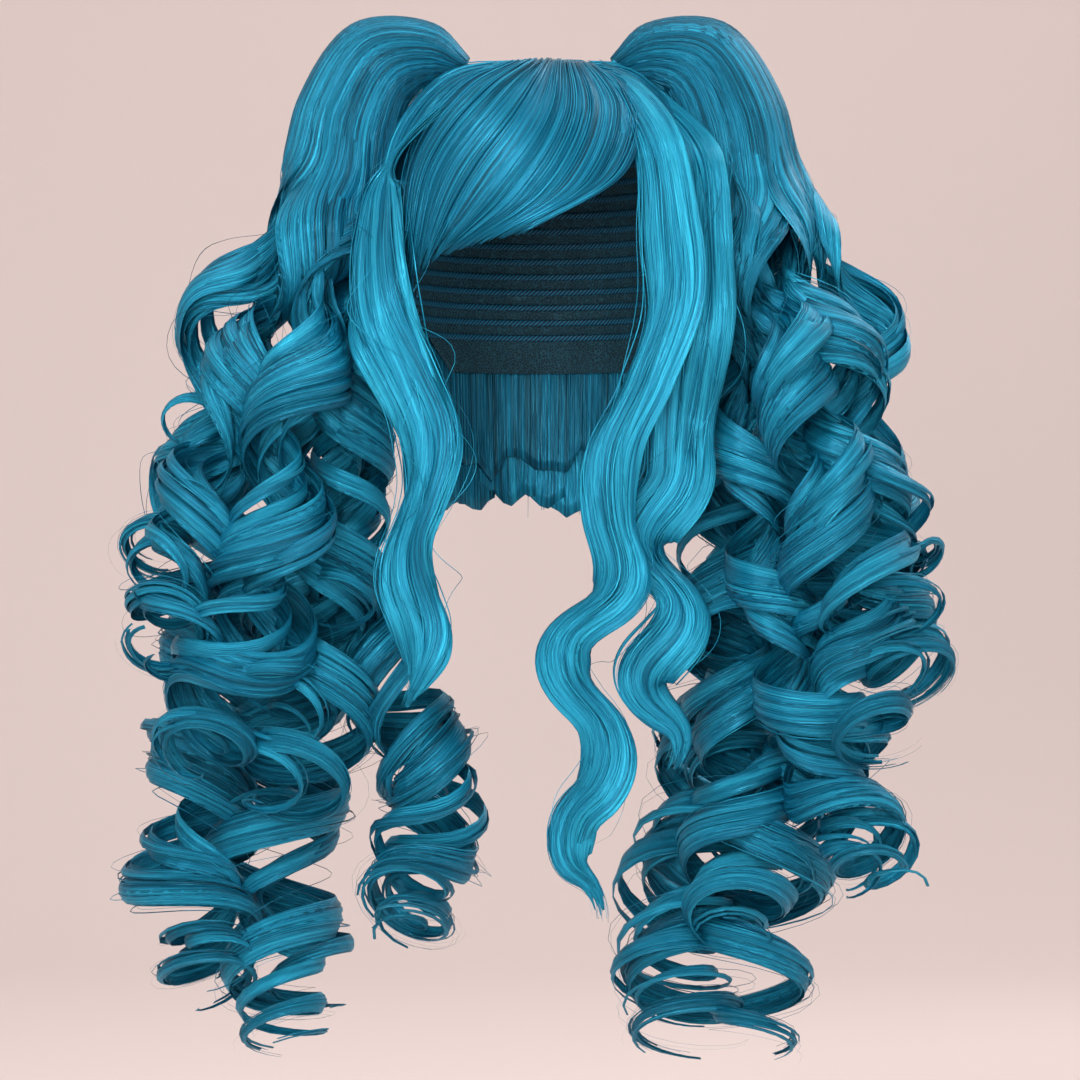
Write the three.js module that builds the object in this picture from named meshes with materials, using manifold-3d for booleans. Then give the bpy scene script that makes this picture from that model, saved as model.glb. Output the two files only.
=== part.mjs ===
// A long wig with two high curled pigtails: a hollow cap, the hair over its crown and nape, a swept
// fringe, long locks that frame the face, and two pigtails that each sit on a clip.
// Millimetres. +Z is up, the wearer's face looks along -Y, and +X is the wearer's left.
// The origin is inside the top of the cap, where the top of the head sits.
import * as THREE from 'three';
import { mergeVertices } from 'three/addons/utils/BufferGeometryUtils.js';
import Module from 'manifold-3d';

const wasm = await Module();
wasm.setup();

// Head form: the inside of the cap
const HEAD_HALF_WIDTH = 76;
const HEAD_HALF_DEPTH = 96;
const CROWN_HEIGHT = 105; // from the widest line up to the origin
const NAPE_DROP = 60; // from the widest line down to the cap's edge at the nape
const CROWN_SQUARENESS = 2.5; // 2 would be a plain ellipse, more is flatter on top

// Walls and clearances
const CAP_WALL = 2;
const CROWN_HAIR = 7; // thickness of the hair over the cap
const FRINGE_HAIR = 7;
const FRINGE_GROOVE = 1.5; // depth of the fringe's backing below its strips
const SEAM = 0.5; // clearance between neighbouring pieces

// Face opening of the cap, seen from the front
const OPENING_HALF_WIDTH = 70;
const OPENING_TOP = 43; // below the origin
const OPENING_CORNER = 34;

// Lower edges, seen from the side
const CAP_TEMPLE_DROP = 132; // below the origin, in front of the ear
const CAP_EAR_DROP = 118;
const EAR_SETBACK = 6; // how far the middle of the ear lies behind the head's middle
const HAIR_EDGE_DROP = 150; // the crown hair's edge in front of the ear
const BACK_HAIR_LENGTH = 84; // how far the back hair hangs below the nape edge

// Pigtails
const TIE_OUT = 43; // from the middle plane to the tie
const TIE_BACK = 12; // behind the middle of the head
const TIE_UP = 6; // above the origin
const PIGTAIL_REACH = 224; // unit of the tables' out columns
const PIGTAIL_DROP = 560; // unit of the tables' down columns
const PIGTAIL_DEPTH = 100; // unit of the tables' fore columns
const LOCK_THICKNESS = 5;
const LOCK_WIDTH = 40; // unit of the tables' width columns
const CURL_RADIUS = 25; // unit of the tables' curl columns
const CREST_SHARE = 0.5; // width of a lock's outer face, as a share of its inner face
const TOP_WIDTH_SHARE = 0.7; // width of a lock where it leaves the arch, as a share of its full width
const TIP_WIDTH_SHARE = 0.5; // the last narrowing of a lock, at its tip

// Side locks
const SIDE_LOCK_THICKNESS = 5;
const SIDE_ROOT_SHARE = 0.7; // width of a side lock at its root, as a share of its full width

// Pigtail clips
const CLIP_LENGTH = 36;
const CLIP_WIDTH = 15;
const CLIP_HEIGHT = 11;
const CLIP_TILT = 12; // degrees down to the outer side
const CLIP_OUT = 2; // beyond the tie

// Shape of the curls
const CURL_TIGHTENING = 1.35; // 1 would keep the turns even, more makes them closer towards the tip
const CURL_OPENING = 0.35; // how much wider a pigtail's curls are at the tip than halfway down
const PIGTAIL_NARROWING = 0.36; // how much a pigtail lock narrows on its way down
const SIDE_NARROWING = 0.15;
const SWAY_TURN = 0.4; // how far a swaying lock's flat side swings, in radians
const SWAY_DEPTH = 0.35; // its swing to the front and back, as a share of its swing to the sides

// Mesh fineness
const RING_POINTS = 24;
const DOME_RINGS = 5;
const ARCH_LOBES = 7;
const ARCH_STEPS = 9;
const GROOVE_SHARE = 0.88;
const LOCK_DIVISIONS = 240;
const STRAIGHT_STEPS = 6;
const STEPS_PER_TURN = 6;
const SLIVER = 0.25;

// Sections of the head below its widest line. drop: share of NAPE_DROP; width and depth: shares of the
// half width and half depth; back: how far the section moves back, as a share of the half depth.
const NAPE_SECTIONS = [
  { drop: 0.5, width: 0.99, depth: 0.96, back: 0.03 },
  { drop: 1, width: 0.96, depth: 0.88, back: 0.05 },
  { drop: 1.8, width: 0.93, depth: 0.84, back: 0.06 },
  { drop: 2.6, width: 0.9, depth: 0.82, back: 0.06 },
];

// The arch that a pigtail makes from its tie. out: beyond the tie, and up: above it, as shares of the
// reach; wide and deep: half sizes of the bundle, as shares of the reach.
const ARCH = [
  { out: 0, up: 0, wide: 0.03, deep: 0.04 },
  { out: 0.08, up: 0.038, wide: 0.078, deep: 0.08 },
  { out: 0.21, up: 0.02, wide: 0.124, deep: 0.116 },
  { out: 0.295, up: -0.125, wide: 0.142, deep: 0.125 },
  { out: 0.326, up: -0.304, wide: 0.142, deep: 0.134 },
  { out: 0.335, up: -0.41, wide: 0.1, deep: 0.1 },
];
const LOCKS_LEAVE_AT = 3; // the row of the arch inside which its locks begin

// Each pigtail lock: across -1 (inner) to 1 (outer) and level -1 (front) to 1 (back) place it at the end
// of the arch, then hang lists its axis below the arch as out, down and fore in reach, drop and depth units.
// curl is the curl's radius in CURL_RADIUS units and width the lock's width in LOCK_WIDTH units; turns
// (negative for the other hand) and start (share of the length where the curl begins) shape the curl.
const RIGHT_HAND_LOCKS = [
  { across: 0.95, level: 0.2, curl: 0.52, turns: 2.8, start: 0.08, width: 0.7,
    hang: [[0.755, 0.192, 0], [0.835, 0.25, 0], [0.83, 0.315, 0.05], [0.86, 0.37, 0.1],
      [0.935, 0.43, 0.1], [0.975, 0.49, 0.1]] },
  { across: 0.6, level: -0.75, curl: 0.76, turns: -3.4, start: 0.1, width: 0.9,
    hang: [[0.67, 0.23, 0.35], [0.755, 0.33, 0.45], [0.795, 0.4, 0.5], [0.85, 0.47, 0.55],
      [0.9, 0.53, 0.6], [0.92, 0.575, 0.7]] },
  { across: 0.18, level: -1, curl: 0.88, turns: 3.9, start: 0.14, width: 0.95,
    hang: [[0.545, 0.23, 0.45], [0.595, 0.33, 0.6], [0.637, 0.43, 0.7], [0.68, 0.52, 0.7],
      [0.755, 0.61, 0.6], [0.838, 0.685, 0.65]] },
  { across: -0.6, level: -0.8, curl: 0.88, turns: -4.1, start: 0.14, width: 0.95,
    hang: [[0.48, 0.23, 0.2], [0.49, 0.34, 0.2], [0.5, 0.45, 0.2], [0.52, 0.56, 0.25],
      [0.57, 0.65, 0.4], [0.605, 0.73, 0.45]] },
  { across: -0.95, level: 0.2, curl: 0.8, turns: 4.8, start: 0.18, width: 0.85,
    hang: [[0.47, 0.23, -0.1], [0.475, 0.34, -0.1], [0.475, 0.46, -0.05], [0.43, 0.57, 0.1],
      [0.33, 0.65, 0.2], [0.26, 0.71, 0.3], [0.29, 0.79, 0.3], [0.338, 0.855, 0.3]] },
  { across: 0.6, level: 0.75, curl: 0.96, turns: -5.2, start: 0.18, width: 0.9,
    hang: [[0.69, 0.24, -0.4], [0.76, 0.35, -0.45], [0.815, 0.48, -0.4], [0.845, 0.61, -0.25],
      [0.865, 0.73, 0], [0.875, 0.83, 0.1], [0.812, 0.92, 0.1]] },
  { across: 0.1, level: 0.3, curl: 1, turns: 5.5, start: 0.18, width: 0.9,
    hang: [[0.555, 0.23, -0.1], [0.595, 0.36, -0.15], [0.62, 0.5, -0.15], [0.637, 0.63, -0.1],
      [0.662, 0.75, 0], [0.67, 0.85, 0.1], [0.64, 0.975, 0.1]] },
];

const LEFT_HAND_LOCKS = [
  { across: 0.95, level: 0.2, curl: 0.56, turns: 3, start: 0.08, width: 0.7,
    hang: [[0.775, 0.192, 0], [0.83, 0.26, 0], [0.82, 0.33, 0.05], [0.815, 0.4, 0.1],
      [0.85, 0.46, 0.1], [0.912, 0.505, 0.1]] },
  { across: 0.6, level: -0.75, curl: 0.72, turns: -3.9, start: 0.12, width: 0.9,
    hang: [[0.665, 0.22, 0.35], [0.755, 0.31, 0.45], [0.79, 0.39, 0.5], [0.82, 0.47, 0.5],
      [0.865, 0.55, 0.45], [0.935, 0.615, 0.4]] },
  { across: 0.1, level: -1, curl: 0.8, turns: 4.1, start: 0.14, width: 0.95,
    hang: [[0.545, 0.22, 0.45], [0.613, 0.31, 0.6], [0.675, 0.4, 0.7], [0.725, 0.49, 0.7],
      [0.775, 0.58, 0.6], [0.82, 0.675, 0.65]] },
  { across: -0.6, level: -0.8, curl: 0.8, turns: -4.8, start: 0.18, width: 0.9,
    hang: [[0.49, 0.22, 0.15], [0.5, 0.32, 0.2], [0.53, 0.42, 0.3], [0.58, 0.52, 0.4],
      [0.66, 0.62, 0.5], [0.755, 0.72, 0.45], [0.82, 0.8, 0.5]] },
  { across: -0.95, level: 0.2, curl: 0.84, turns: 5, start: 0.18, width: 0.85,
    hang: [[0.47, 0.23, -0.1], [0.465, 0.34, -0.1], [0.46, 0.45, -0.1], [0.475, 0.57, 0],
      [0.505, 0.68, 0.1], [0.505, 0.78, 0.2], [0.465, 0.865, 0.3]] },
  { across: 0.4, level: 0.3, curl: 1, turns: -5.5, start: 0.18, width: 0.9,
    hang: [[0.575, 0.23, -0.1], [0.63, 0.35, -0.1], [0.655, 0.47, -0.1], [0.642, 0.59, -0.1],
      [0.6, 0.71, 0], [0.555, 0.82, 0.1], [0.54, 0.98, 0.1]] },
  { across: -0.3, level: 0.9, curl: 0.96, turns: 5.5, start: 0.18, width: 0.85,
    hang: [[0.505, 0.24, -0.45], [0.525, 0.36, -0.55], [0.53, 0.49, -0.55], [0.505, 0.61, -0.45],
      [0.445, 0.73, -0.3], [0.375, 0.84, -0.1], [0.36, 0.975, 0]] },
];

// Locks that frame the face. side: -1 the wearer's right, 1 the wearer's left; hang as above. They sway
// from side to side with their flat side facing forward, turned outward by face degrees.
const SIDE_LOCKS = [
  { name: 'side_lock_right', side: -1, curl: 0.16, turns: 2, face: 20, start: 0.1, width: 1,
    hang: [[0.39, 0.11, 0.26], [0.4, 0.16, 0.42], [0.39, 0.21, 0.57], [0.37, 0.26, 0.69], [0.33, 0.31, 0.74],
      [0.29, 0.37, 0.76], [0.285, 0.44, 0.78], [0.31, 0.51, 0.78], [0.295, 0.57, 0.76],
      [0.325, 0.635, 0.74]] },
  { name: 'side_lock_left_inner', side: 1, curl: 0.28, turns: 3, face: 5, start: 0.3, width: 0.8,
    hang: [[0.29, 0.08, 0.7], [0.32, 0.16, 0.74], [0.33, 0.24, 0.76], [0.263, 0.32, 0.8],
      [0.195, 0.385, 0.82], [0.175, 0.45, 0.82], [0.18, 0.515, 0.8], [0.1, 0.58, 0.78],
      [0.14, 0.655, 0.76], [0.15, 0.72, 0.76], [0.07, 0.79, 0.75], [0.15, 0.845, 0.74]] },
  { name: 'side_lock_left_outer', side: 1, curl: 0.32, turns: 3, face: 25, start: 0.25, width: 1,
    hang: [[0.375, 0.09, 0.4], [0.385, 0.17, 0.5], [0.385, 0.25, 0.65], [0.36, 0.33, 0.62],
      [0.3, 0.4, 0.62], [0.275, 0.47, 0.6], [0.31, 0.54, 0.6], [0.29, 0.62, 0.6], [0.32, 0.7, 0.6]] },
];

// Three guide strands of the fringe, seen from the front, from the parting to the lower edge: x and z as
// shares of the half width and of the crown height.
const FRINGE_GUIDES = {
  right: [[-0.26, 0.04], [-0.66, -0.08], [-0.99, -0.45], [-1.02, -1.08]],
  middle: [[0.15, 0.05], [0.12, -0.3], [-0.22, -0.72], [-0.72, -1.0]],
  left: [[0.4, 0.04], [0.74, -0.22], [0.62, -0.55], [-0.1, -0.9]],
};
const FRINGE_STRIPS = 5;
const FRINGE_STRIP_WIDTH = 32;
const FRINGE_STRIP_CREST = 1.6; // rise of a strip's crest over the backing
const FRINGE_STRIP_EDGE = 3; // depth of its two edges in the backing
const FRINGE_STRIP_KEEL = 4.2; // depth of its underside in the backing

// Outline of the fringe, seen from the front, in the same shares: its corners, and the points that the
// curve of its lower edge bends through.
const FRINGE_TOP = 0.5;
const FRINGE_CORNER_RIGHT = [-1.08, -1.06];
const FRINGE_POINT_RIGHT = [-0.88, -1.13];
const FRINGE_LOW_MIDDLE = [-0.15, -0.9];
const FRINGE_CORNER_LEFT = [0.72, -0.44];
const FRINGE_PARTING = [0.42, 0];

// Finishes
const HAIR = { color: 0x0f7fa6, roughness: 0.42, metalness: 0 };
const HAIR_DARK = { color: 0x0b6a8d, roughness: 0.45, metalness: 0 };
const NET = { color: 0x10272f, roughness: 0.85, metalness: 0 };
const CLIP_PLASTIC = { color: 0x14191b, roughness: 0.4, metalness: 0 };

// Solids

function solidOf(geometry) {
  const plain = geometry.index ? geometry.toNonIndexed() : geometry.clone();
  plain.deleteAttribute('normal');
  plain.deleteAttribute('uv');
  const merged = mergeVertices(plain, 1e-4);
  return new wasm.Manifold(new wasm.Mesh({
    numProp: 3,
    vertProperties: merged.attributes.position.array,
    triVerts: new Uint32Array(merged.index.array),
  }));
}

// One plain skin from fused pieces: it drops the slivers and the small hollows where they cross.
function oneSkin(solid) {
  const bodies = solid.simplify(SLIVER).decompose();
  return bodies.reduce((main, body) => (body.volume() > main.volume() ? body : main));
}

function geometryOf(solid) {
  const mesh = solid.getMesh();
  const geometry = new THREE.BufferGeometry();
  geometry.setAttribute('position', new THREE.BufferAttribute(mesh.vertProperties, 3));
  geometry.setIndex(new THREE.BufferAttribute(mesh.triVerts, 1));
  geometry.computeVertexNormals();
  return geometry;
}

// A closed skin through rings of equally many points, with a fan of triangles over each end ring. Where the
// section is thin, its last face is split along the same line as the face over it, because the two sides of
// a twisted ribbon would cross otherwise.
function loft(rings, thin = false) {
  const count = rings[0].length;
  const points = rings.flat();
  const faces = [];
  for (let i = 0; i + 1 < rings.length; i++) {
    for (let j = 0; j < count; j++) {
      const a = i * count + j;
      const b = i * count + (j + 1) % count;
      if (thin && j === count - 1) faces.push(a, b, a + count, b, b + count, a + count);
      else faces.push(a, b, b + count, a, b + count, a + count);
    }
  }
  const last = (rings.length - 1) * count;
  for (let j = 1; j + 1 < count; j++) {
    faces.push(0, j + 1, j, last, last + j, last + j + 1);
  }
  const geometry = new THREE.BufferGeometry().setFromPoints(points);
  geometry.setIndex(faces);
  const solid = solidOf(geometry);
  if (solid.volume() > 0) return solid;
  geometry.setIndex(faces.reverse());
  return solidOf(geometry);
}

function outlineOf(shape, margin) {
  const corners = shape.getPoints(8).map((corner) => [corner.x, corner.y]);
  return new wasm.CrossSection([corners], 'EvenOdd').offset(margin, 'Miter');
}

// A prism from a shape drawn in x and z, seen from the front, between two values of y.
function frontPrism(shape, yFrom, yTo, margin = 0) {
  return outlineOf(shape, margin).extrude(yTo - yFrom).rotate([90, 0, 0]).translate([0, yTo, 0]);
}

// A prism from a shape drawn in y and z, seen from the side, over the whole width.
function sidePrism(shape, halfWidth) {
  return outlineOf(shape, 0).extrude(2 * halfWidth).rotate([90, 0, 90]).translate([-halfWidth, 0, 0]);
}

// Head form

const WIDEST_Z = -CROWN_HEIGHT;
const CAP_OUTSIDE = CAP_WALL;
const HAIR_INSIDE = CAP_OUTSIDE + SEAM;
const HAIR_OUTSIDE = HAIR_INSIDE + CROWN_HAIR;

function headRing(z, halfWidth, halfDepth, back) {
  return Array.from({ length: RING_POINTS }, (_, i) => {
    const angle = (i / RING_POINTS) * 2 * Math.PI;
    return new THREE.Vector3(halfWidth * Math.cos(angle), back + halfDepth * Math.sin(angle), z);
  });
}

// The head grown by a wall, closed, down to the section that reaches lowest.
function headForm(wall) {
  const rings = [];
  const power = 2 / CROWN_SQUARENESS;
  for (let i = 0; i <= DOME_RINGS; i++) {
    const angle = ((i + 0.35) / (DOME_RINGS + 0.35)) * Math.PI / 2;
    const across = Math.sin(angle) ** power;
    const rise = Math.max(0, Math.cos(angle)) ** power;
    rings.push(headRing(WIDEST_Z + (CROWN_HEIGHT + wall) * rise,
      (HEAD_HALF_WIDTH + wall) * across, (HEAD_HALF_DEPTH + wall) * across, 0));
  }
  for (const row of NAPE_SECTIONS) {
    rings.push(headRing(WIDEST_Z - row.drop * NAPE_DROP, HEAD_HALF_WIDTH * row.width + wall,
      HEAD_HALF_DEPTH * row.depth + wall, HEAD_HALF_DEPTH * row.back));
  }
  return loft(rings);
}

// How far forward the grown head reaches at a place seen from the front.
function frontOf(x, z, wall) {
  const side = Math.min(0.999, Math.abs(x) / (HEAD_HALF_WIDTH + wall));
  const rise = THREE.MathUtils.clamp((z - WIDEST_Z) / (CROWN_HEIGHT + wall), 0, 0.999);
  const radius = (1 - rise ** CROWN_SQUARENESS) ** (1 / CROWN_SQUARENESS);
  return -(HEAD_HALF_DEPTH + wall) * Math.sqrt(Math.max(0.0004, radius ** 2 - side ** 2));
}

function openingPrism() {
  const half = OPENING_HALF_WIDTH;
  const top = -OPENING_TOP;
  const floor = WIDEST_Z - 4 * NAPE_DROP;
  const shape = new THREE.Shape();
  shape.moveTo(-half, floor);
  shape.lineTo(half, floor);
  shape.lineTo(half, top - OPENING_CORNER);
  shape.quadraticCurveTo(half, top, half - OPENING_CORNER, top);
  shape.lineTo(-half + OPENING_CORNER, top);
  shape.quadraticCurveTo(-half, top, -half, top - OPENING_CORNER);
  shape.closePath();
  return frontPrism(shape, -3 * HEAD_HALF_DEPTH, 0);
}

// What lies below the cap's lower edge: past the temple, over the ear and down to the nape.
function belowCap() {
  const far = 3 * HEAD_HALF_DEPTH;
  const nape = WIDEST_Z - NAPE_DROP;
  const shape = new THREE.Shape();
  shape.moveTo(-far, 3 * nape);
  shape.lineTo(far, 3 * nape);
  shape.lineTo(far, nape);
  shape.lineTo(HEAD_HALF_DEPTH * 0.7, nape);
  shape.quadraticCurveTo(EAR_SETBACK + HEAD_HALF_DEPTH * 0.3, -CAP_EAR_DROP, EAR_SETBACK, -CAP_EAR_DROP);
  shape.quadraticCurveTo(EAR_SETBACK - HEAD_HALF_DEPTH * 0.2, -CAP_EAR_DROP,
    EAR_SETBACK - HEAD_HALF_DEPTH * 0.3, -CAP_TEMPLE_DROP);
  shape.lineTo(-far, -CAP_TEMPLE_DROP);
  shape.closePath();
  return sidePrism(shape, 2 * HEAD_HALF_WIDTH);
}

// What lies below the hair over the cap: level in front of the ear, then down to the back hair's tips.
function belowHair() {
  const far = 3 * HEAD_HALF_DEPTH;
  const tips = WIDEST_Z - NAPE_DROP - BACK_HAIR_LENGTH;
  const shape = new THREE.Shape();
  shape.moveTo(-far, 3 * tips);
  shape.lineTo(far, 3 * tips);
  shape.lineTo(far, tips);
  shape.lineTo(HEAD_HALF_DEPTH * 0.35, tips);
  shape.quadraticCurveTo(0, tips, 0, -HAIR_EDGE_DROP);
  shape.lineTo(-far, -HAIR_EDGE_DROP);
  shape.closePath();
  return sidePrism(shape, 2 * HEAD_HALF_WIDTH);
}

// Locks

const LEAN = new THREE.Vector3(0, -1, 1).normalize();

function smooth(from, to, value) {
  const share = THREE.MathUtils.clamp((value - from) / (to - from), 0, 1);
  return share * share * (3 - 2 * share);
}

// The points of the arch at a place in its bundle.
function archPoints(side, across, level) {
  const middle = ARCH.map((row) => new THREE.Vector2(
    TIE_OUT + row.out * PIGTAIL_REACH, TIE_UP + row.up * PIGTAIL_REACH));
  return ARCH.map((row, i) => {
    const before = middle[Math.max(0, i - 1)];
    const after = middle[Math.min(ARCH.length - 1, i + 1)];
    const along = after.clone().sub(before).normalize();
    const x = middle[i].x - along.y * across * row.wide * PIGTAIL_REACH;
    const z = middle[i].y + along.x * across * row.wide * PIGTAIL_REACH;
    return new THREE.Vector3(side * x, TIE_BACK + level * row.deep * PIGTAIL_REACH, z);
  });
}

function hangPoints(side, hang) {
  return hang.map(([out, down, fore]) => new THREE.Vector3(
    side * out * PIGTAIL_REACH, -fore * PIGTAIL_DEPTH, -down * PIGTAIL_DROP));
}

// Where the middle of a lock runs, and which way its flat side faces. A curled lock circles its axis with
// a radius that grows from nothing and turns that tighten downwards; a swaying one only goes from side to
// side and keeps facing forward. facing is the angle of its flat side from the front, in radians.
function lockPlaces(points, row, facing, sways) {
  const axis = new THREE.CatmullRomCurve3(points);
  axis.arcLengthDivisions = LOCK_DIVISIONS;
  const places = [];
  for (let i = 0; i <= LOCK_DIVISIONS; i++) {
    const t = i / LOCK_DIVISIONS;
    const along = axis.getTangentAt(t);
    const normal = LEAN.clone().addScaledVector(along, -LEAN.dot(along)).normalize();
    const across = new THREE.Vector3().crossVectors(along, normal);
    const curled = THREE.MathUtils.clamp((t - row.start) / (1 - row.start), 0, 1);
    const turned = 2 * Math.PI * row.turns * curled ** CURL_TIGHTENING;
    const grown = (0.25 + 0.75 * smooth(0, 0.5, curled)) * smooth(row.start - 0.08, row.start + 0.12, t);
    const opened = sways ? 1 : 1 + CURL_OPENING * smooth(0.4, 1, t);
    const radius = CURL_RADIUS * row.curl * grown * opened;
    const flatAngle = facing + (sways ? SWAY_TURN * Math.cos(turned) : turned);
    const flat = normal.clone().multiplyScalar(Math.cos(flatAngle))
      .addScaledVector(across, Math.sin(flatAngle));
    const shift = sways
      ? normal.multiplyScalar(SWAY_DEPTH * Math.cos(turned)).addScaledVector(across, Math.sin(turned))
      : flat;
    places.push({ t, flat, at: axis.getPointAt(t).addScaledVector(shift, radius) });
  }
  return places;
}

// A lock with a four-sided section, its steps evenly spaced along its middle.
function lockSolid(places, row, thickness, rootShare, narrowing) {
  const lengths = [0];
  for (let i = 1; i < places.length; i++) {
    lengths.push(lengths[i - 1] + places[i].at.distanceTo(places[i - 1].at));
  }
  const steps = Math.round(STRAIGHT_STEPS + STEPS_PER_TURN * Math.abs(row.turns));
  const picked = [];
  for (let i = 0, k = 0; i <= steps; i++) {
    const wanted = (lengths[places.length - 1] * i) / steps;
    while (k < places.length - 1 && lengths[k] < wanted) k++;
    picked.push(places[k]);
  }
  const rings = picked.map((place, i) => {
    const before = picked[Math.max(0, i - 1)].at;
    const after = picked[Math.min(steps, i + 1)].at;
    const along = after.clone().sub(before).normalize();
    const flat = place.flat.clone().addScaledVector(along, -place.flat.dot(along)).normalize();
    const wide = new THREE.Vector3().crossVectors(along, flat);
    const tip = 1 - (1 - TIP_WIDTH_SHARE) * smooth(0.85, 1, place.t);
    const taper = (1 - narrowing * smooth(0.2, 0.75, place.t)) * tip;
    const gathered = rootShare + (1 - rootShare) * smooth(0, 0.15, place.t);
    const halfWidth = (LOCK_WIDTH * row.width / 2) * gathered * taper;
    const halfThick = (thickness / 2) * (0.4 + 0.6 * taper);
    const crest = halfWidth * CREST_SHARE;
    return [[halfWidth, -halfThick], [crest, halfThick], [-crest, halfThick], [-halfWidth, -halfThick]]
      .map(([w, h]) => place.at.clone().addScaledVector(wide, w).addScaledVector(flat, h));
  });
  return loft(rings, true);
}

// Pieces

const group = new THREE.Group();

function add(name, solid, finish) {
  const mesh = new THREE.Mesh(geometryOf(solid), new THREE.MeshStandardMaterial(finish));
  mesh.name = name;
  group.add(mesh);
}

function cap() {
  return headForm(CAP_OUTSIDE).subtract(headForm(0)).subtract(openingPrism()).subtract(belowCap());
}

function fringeOutline(margin) {
  const at = ([x, z]) => [x * HEAD_HALF_WIDTH, z * CROWN_HEIGHT];
  const [cornerX, cornerZ] = at(FRINGE_CORNER_RIGHT);
  const [pointX, pointZ] = at(FRINGE_POINT_RIGHT);
  const [lowX, lowZ] = at(FRINGE_LOW_MIDDLE);
  const [leftX, leftZ] = at(FRINGE_CORNER_LEFT);
  const [partX, partZ] = at(FRINGE_PARTING);
  const top = FRINGE_TOP * CROWN_HEIGHT;
  const shape = new THREE.Shape();
  shape.moveTo(cornerX, top);
  shape.lineTo(cornerX, cornerZ);
  shape.lineTo(pointX, pointZ);
  shape.quadraticCurveTo(pointX * 0.8, lowZ, lowX, lowZ);
  shape.quadraticCurveTo((lowX + leftX) * 0.55, lowZ * 0.82, leftX, leftZ);
  shape.quadraticCurveTo(leftX, partZ, partX, partZ);
  shape.lineTo(partX, top);
  shape.closePath();
  return frontPrism(shape, -3 * HEAD_HALF_DEPTH, -HEAD_HALF_DEPTH * 0.05 + margin, margin);
}

// One strip of the fringe: share 0 is its right-hand edge, 1 its left-hand edge.
function fringeStrip(share) {
  const near = share < 0.5 ? FRINGE_GUIDES.right : FRINGE_GUIDES.left;
  const mix = Math.abs(share - 0.5) * 2;
  const wall = HAIR_INSIDE + FRINGE_HAIR - FRINGE_GROOVE;
  const points = FRINGE_GUIDES.middle.map(([x, z], i) => {
    const px = THREE.MathUtils.lerp(x, near[i][0], mix) * HEAD_HALF_WIDTH;
    const pz = THREE.MathUtils.lerp(z, near[i][1], mix) * CROWN_HEIGHT;
    return new THREE.Vector3(px, frontOf(px, pz, wall), pz);
  });
  const axis = new THREE.CatmullRomCurve3(points);
  const steps = 7;
  const rings = [];
  for (let i = 0; i <= steps; i++) {
    const guide = axis.getPoint(i / steps);
    const at = new THREE.Vector3(guide.x, frontOf(guide.x, guide.z, wall), guide.z);
    const out = new THREE.Vector3(at.x / HEAD_HALF_WIDTH, at.y / HEAD_HALF_DEPTH,
      Math.max(0, at.z - WIDEST_Z) / CROWN_HEIGHT).normalize();
    const along = axis.getTangent(i / steps);
    const wide = new THREE.Vector3().crossVectors(along, out).normalize();
    const half = (FRINGE_STRIP_WIDTH / 2) * (0.45 + 0.55 * smooth(0, 0.5, i / steps));
    rings.push([[half, -FRINGE_STRIP_EDGE], [0, FRINGE_STRIP_CREST], [-half, -FRINGE_STRIP_EDGE],
      [0, -FRINGE_STRIP_KEEL]].map(([w, h]) => at.clone().addScaledVector(wide, w).addScaledVector(out, h)));
  }
  return loft(rings);
}

function fringe() {
  const inside = headForm(HAIR_INSIDE);
  let solid = headForm(HAIR_INSIDE + FRINGE_HAIR - FRINGE_GROOVE).subtract(inside);
  for (let i = 0; i < FRINGE_STRIPS; i++) {
    solid = solid.add(fringeStrip((i + 0.5) / FRINGE_STRIPS));
  }
  return oneSkin(solid.intersect(fringeOutline(0)).subtract(inside));
}

function crownHair() {
  return headForm(HAIR_OUTSIDE).subtract(headForm(HAIR_INSIDE)).subtract(openingPrism())
    .subtract(belowHair()).subtract(fringeOutline(SEAM));
}

// The space that the hair over the head fills, grown by the seam: what lies on the head is cut by it.
const OVER_HAIR = headForm(HAIR_OUTSIDE + SEAM);

function clipSolid(side, margin) {
  const geometry = new THREE.SphereGeometry(0.5, 10, 6);
  geometry.scale(CLIP_LENGTH + 2 * margin, CLIP_WIDTH + 2 * margin, CLIP_HEIGHT + 2 * margin);
  geometry.rotateY(side * THREE.MathUtils.degToRad(CLIP_TILT));
  geometry.translate(side * (TIE_OUT + CLIP_OUT), TIE_BACK, TIE_UP - CLIP_HEIGHT * 0.4);
  return solidOf(geometry);
}

// The arch, with a groove between each two of its strands of hair.
function archSolid(side) {
  const edges = Array.from({ length: 2 * ARCH_LOBES }, (_, j) => {
    const angle = (j / ARCH_LOBES) * Math.PI;
    const reach = j % 2 ? GROOVE_SHARE : 1;
    return new THREE.CatmullRomCurve3(archPoints(side, reach * Math.cos(angle), reach * Math.sin(angle)));
  });
  return loft(Array.from({ length: ARCH_STEPS + 1 },
    (_, i) => edges.map((edge) => edge.getPoint(i / ARCH_STEPS))));
}

function pigtail(side, rows) {
  let solid = archSolid(side);
  for (const row of rows) {
    const leaving = archPoints(side, row.across, row.level).slice(LOCKS_LEAVE_AT, LOCKS_LEAVE_AT + 2);
    const facing = -side * Math.atan2(row.across, -row.level);
    const places = lockPlaces([...leaving, ...hangPoints(side, row.hang)], row, facing, false);
    solid = solid.add(lockSolid(places, row, LOCK_THICKNESS, TOP_WIDTH_SHARE, PIGTAIL_NARROWING));
  }
  return oneSkin(solid.subtract(OVER_HAIR).subtract(clipSolid(side, SEAM)));
}

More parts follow.
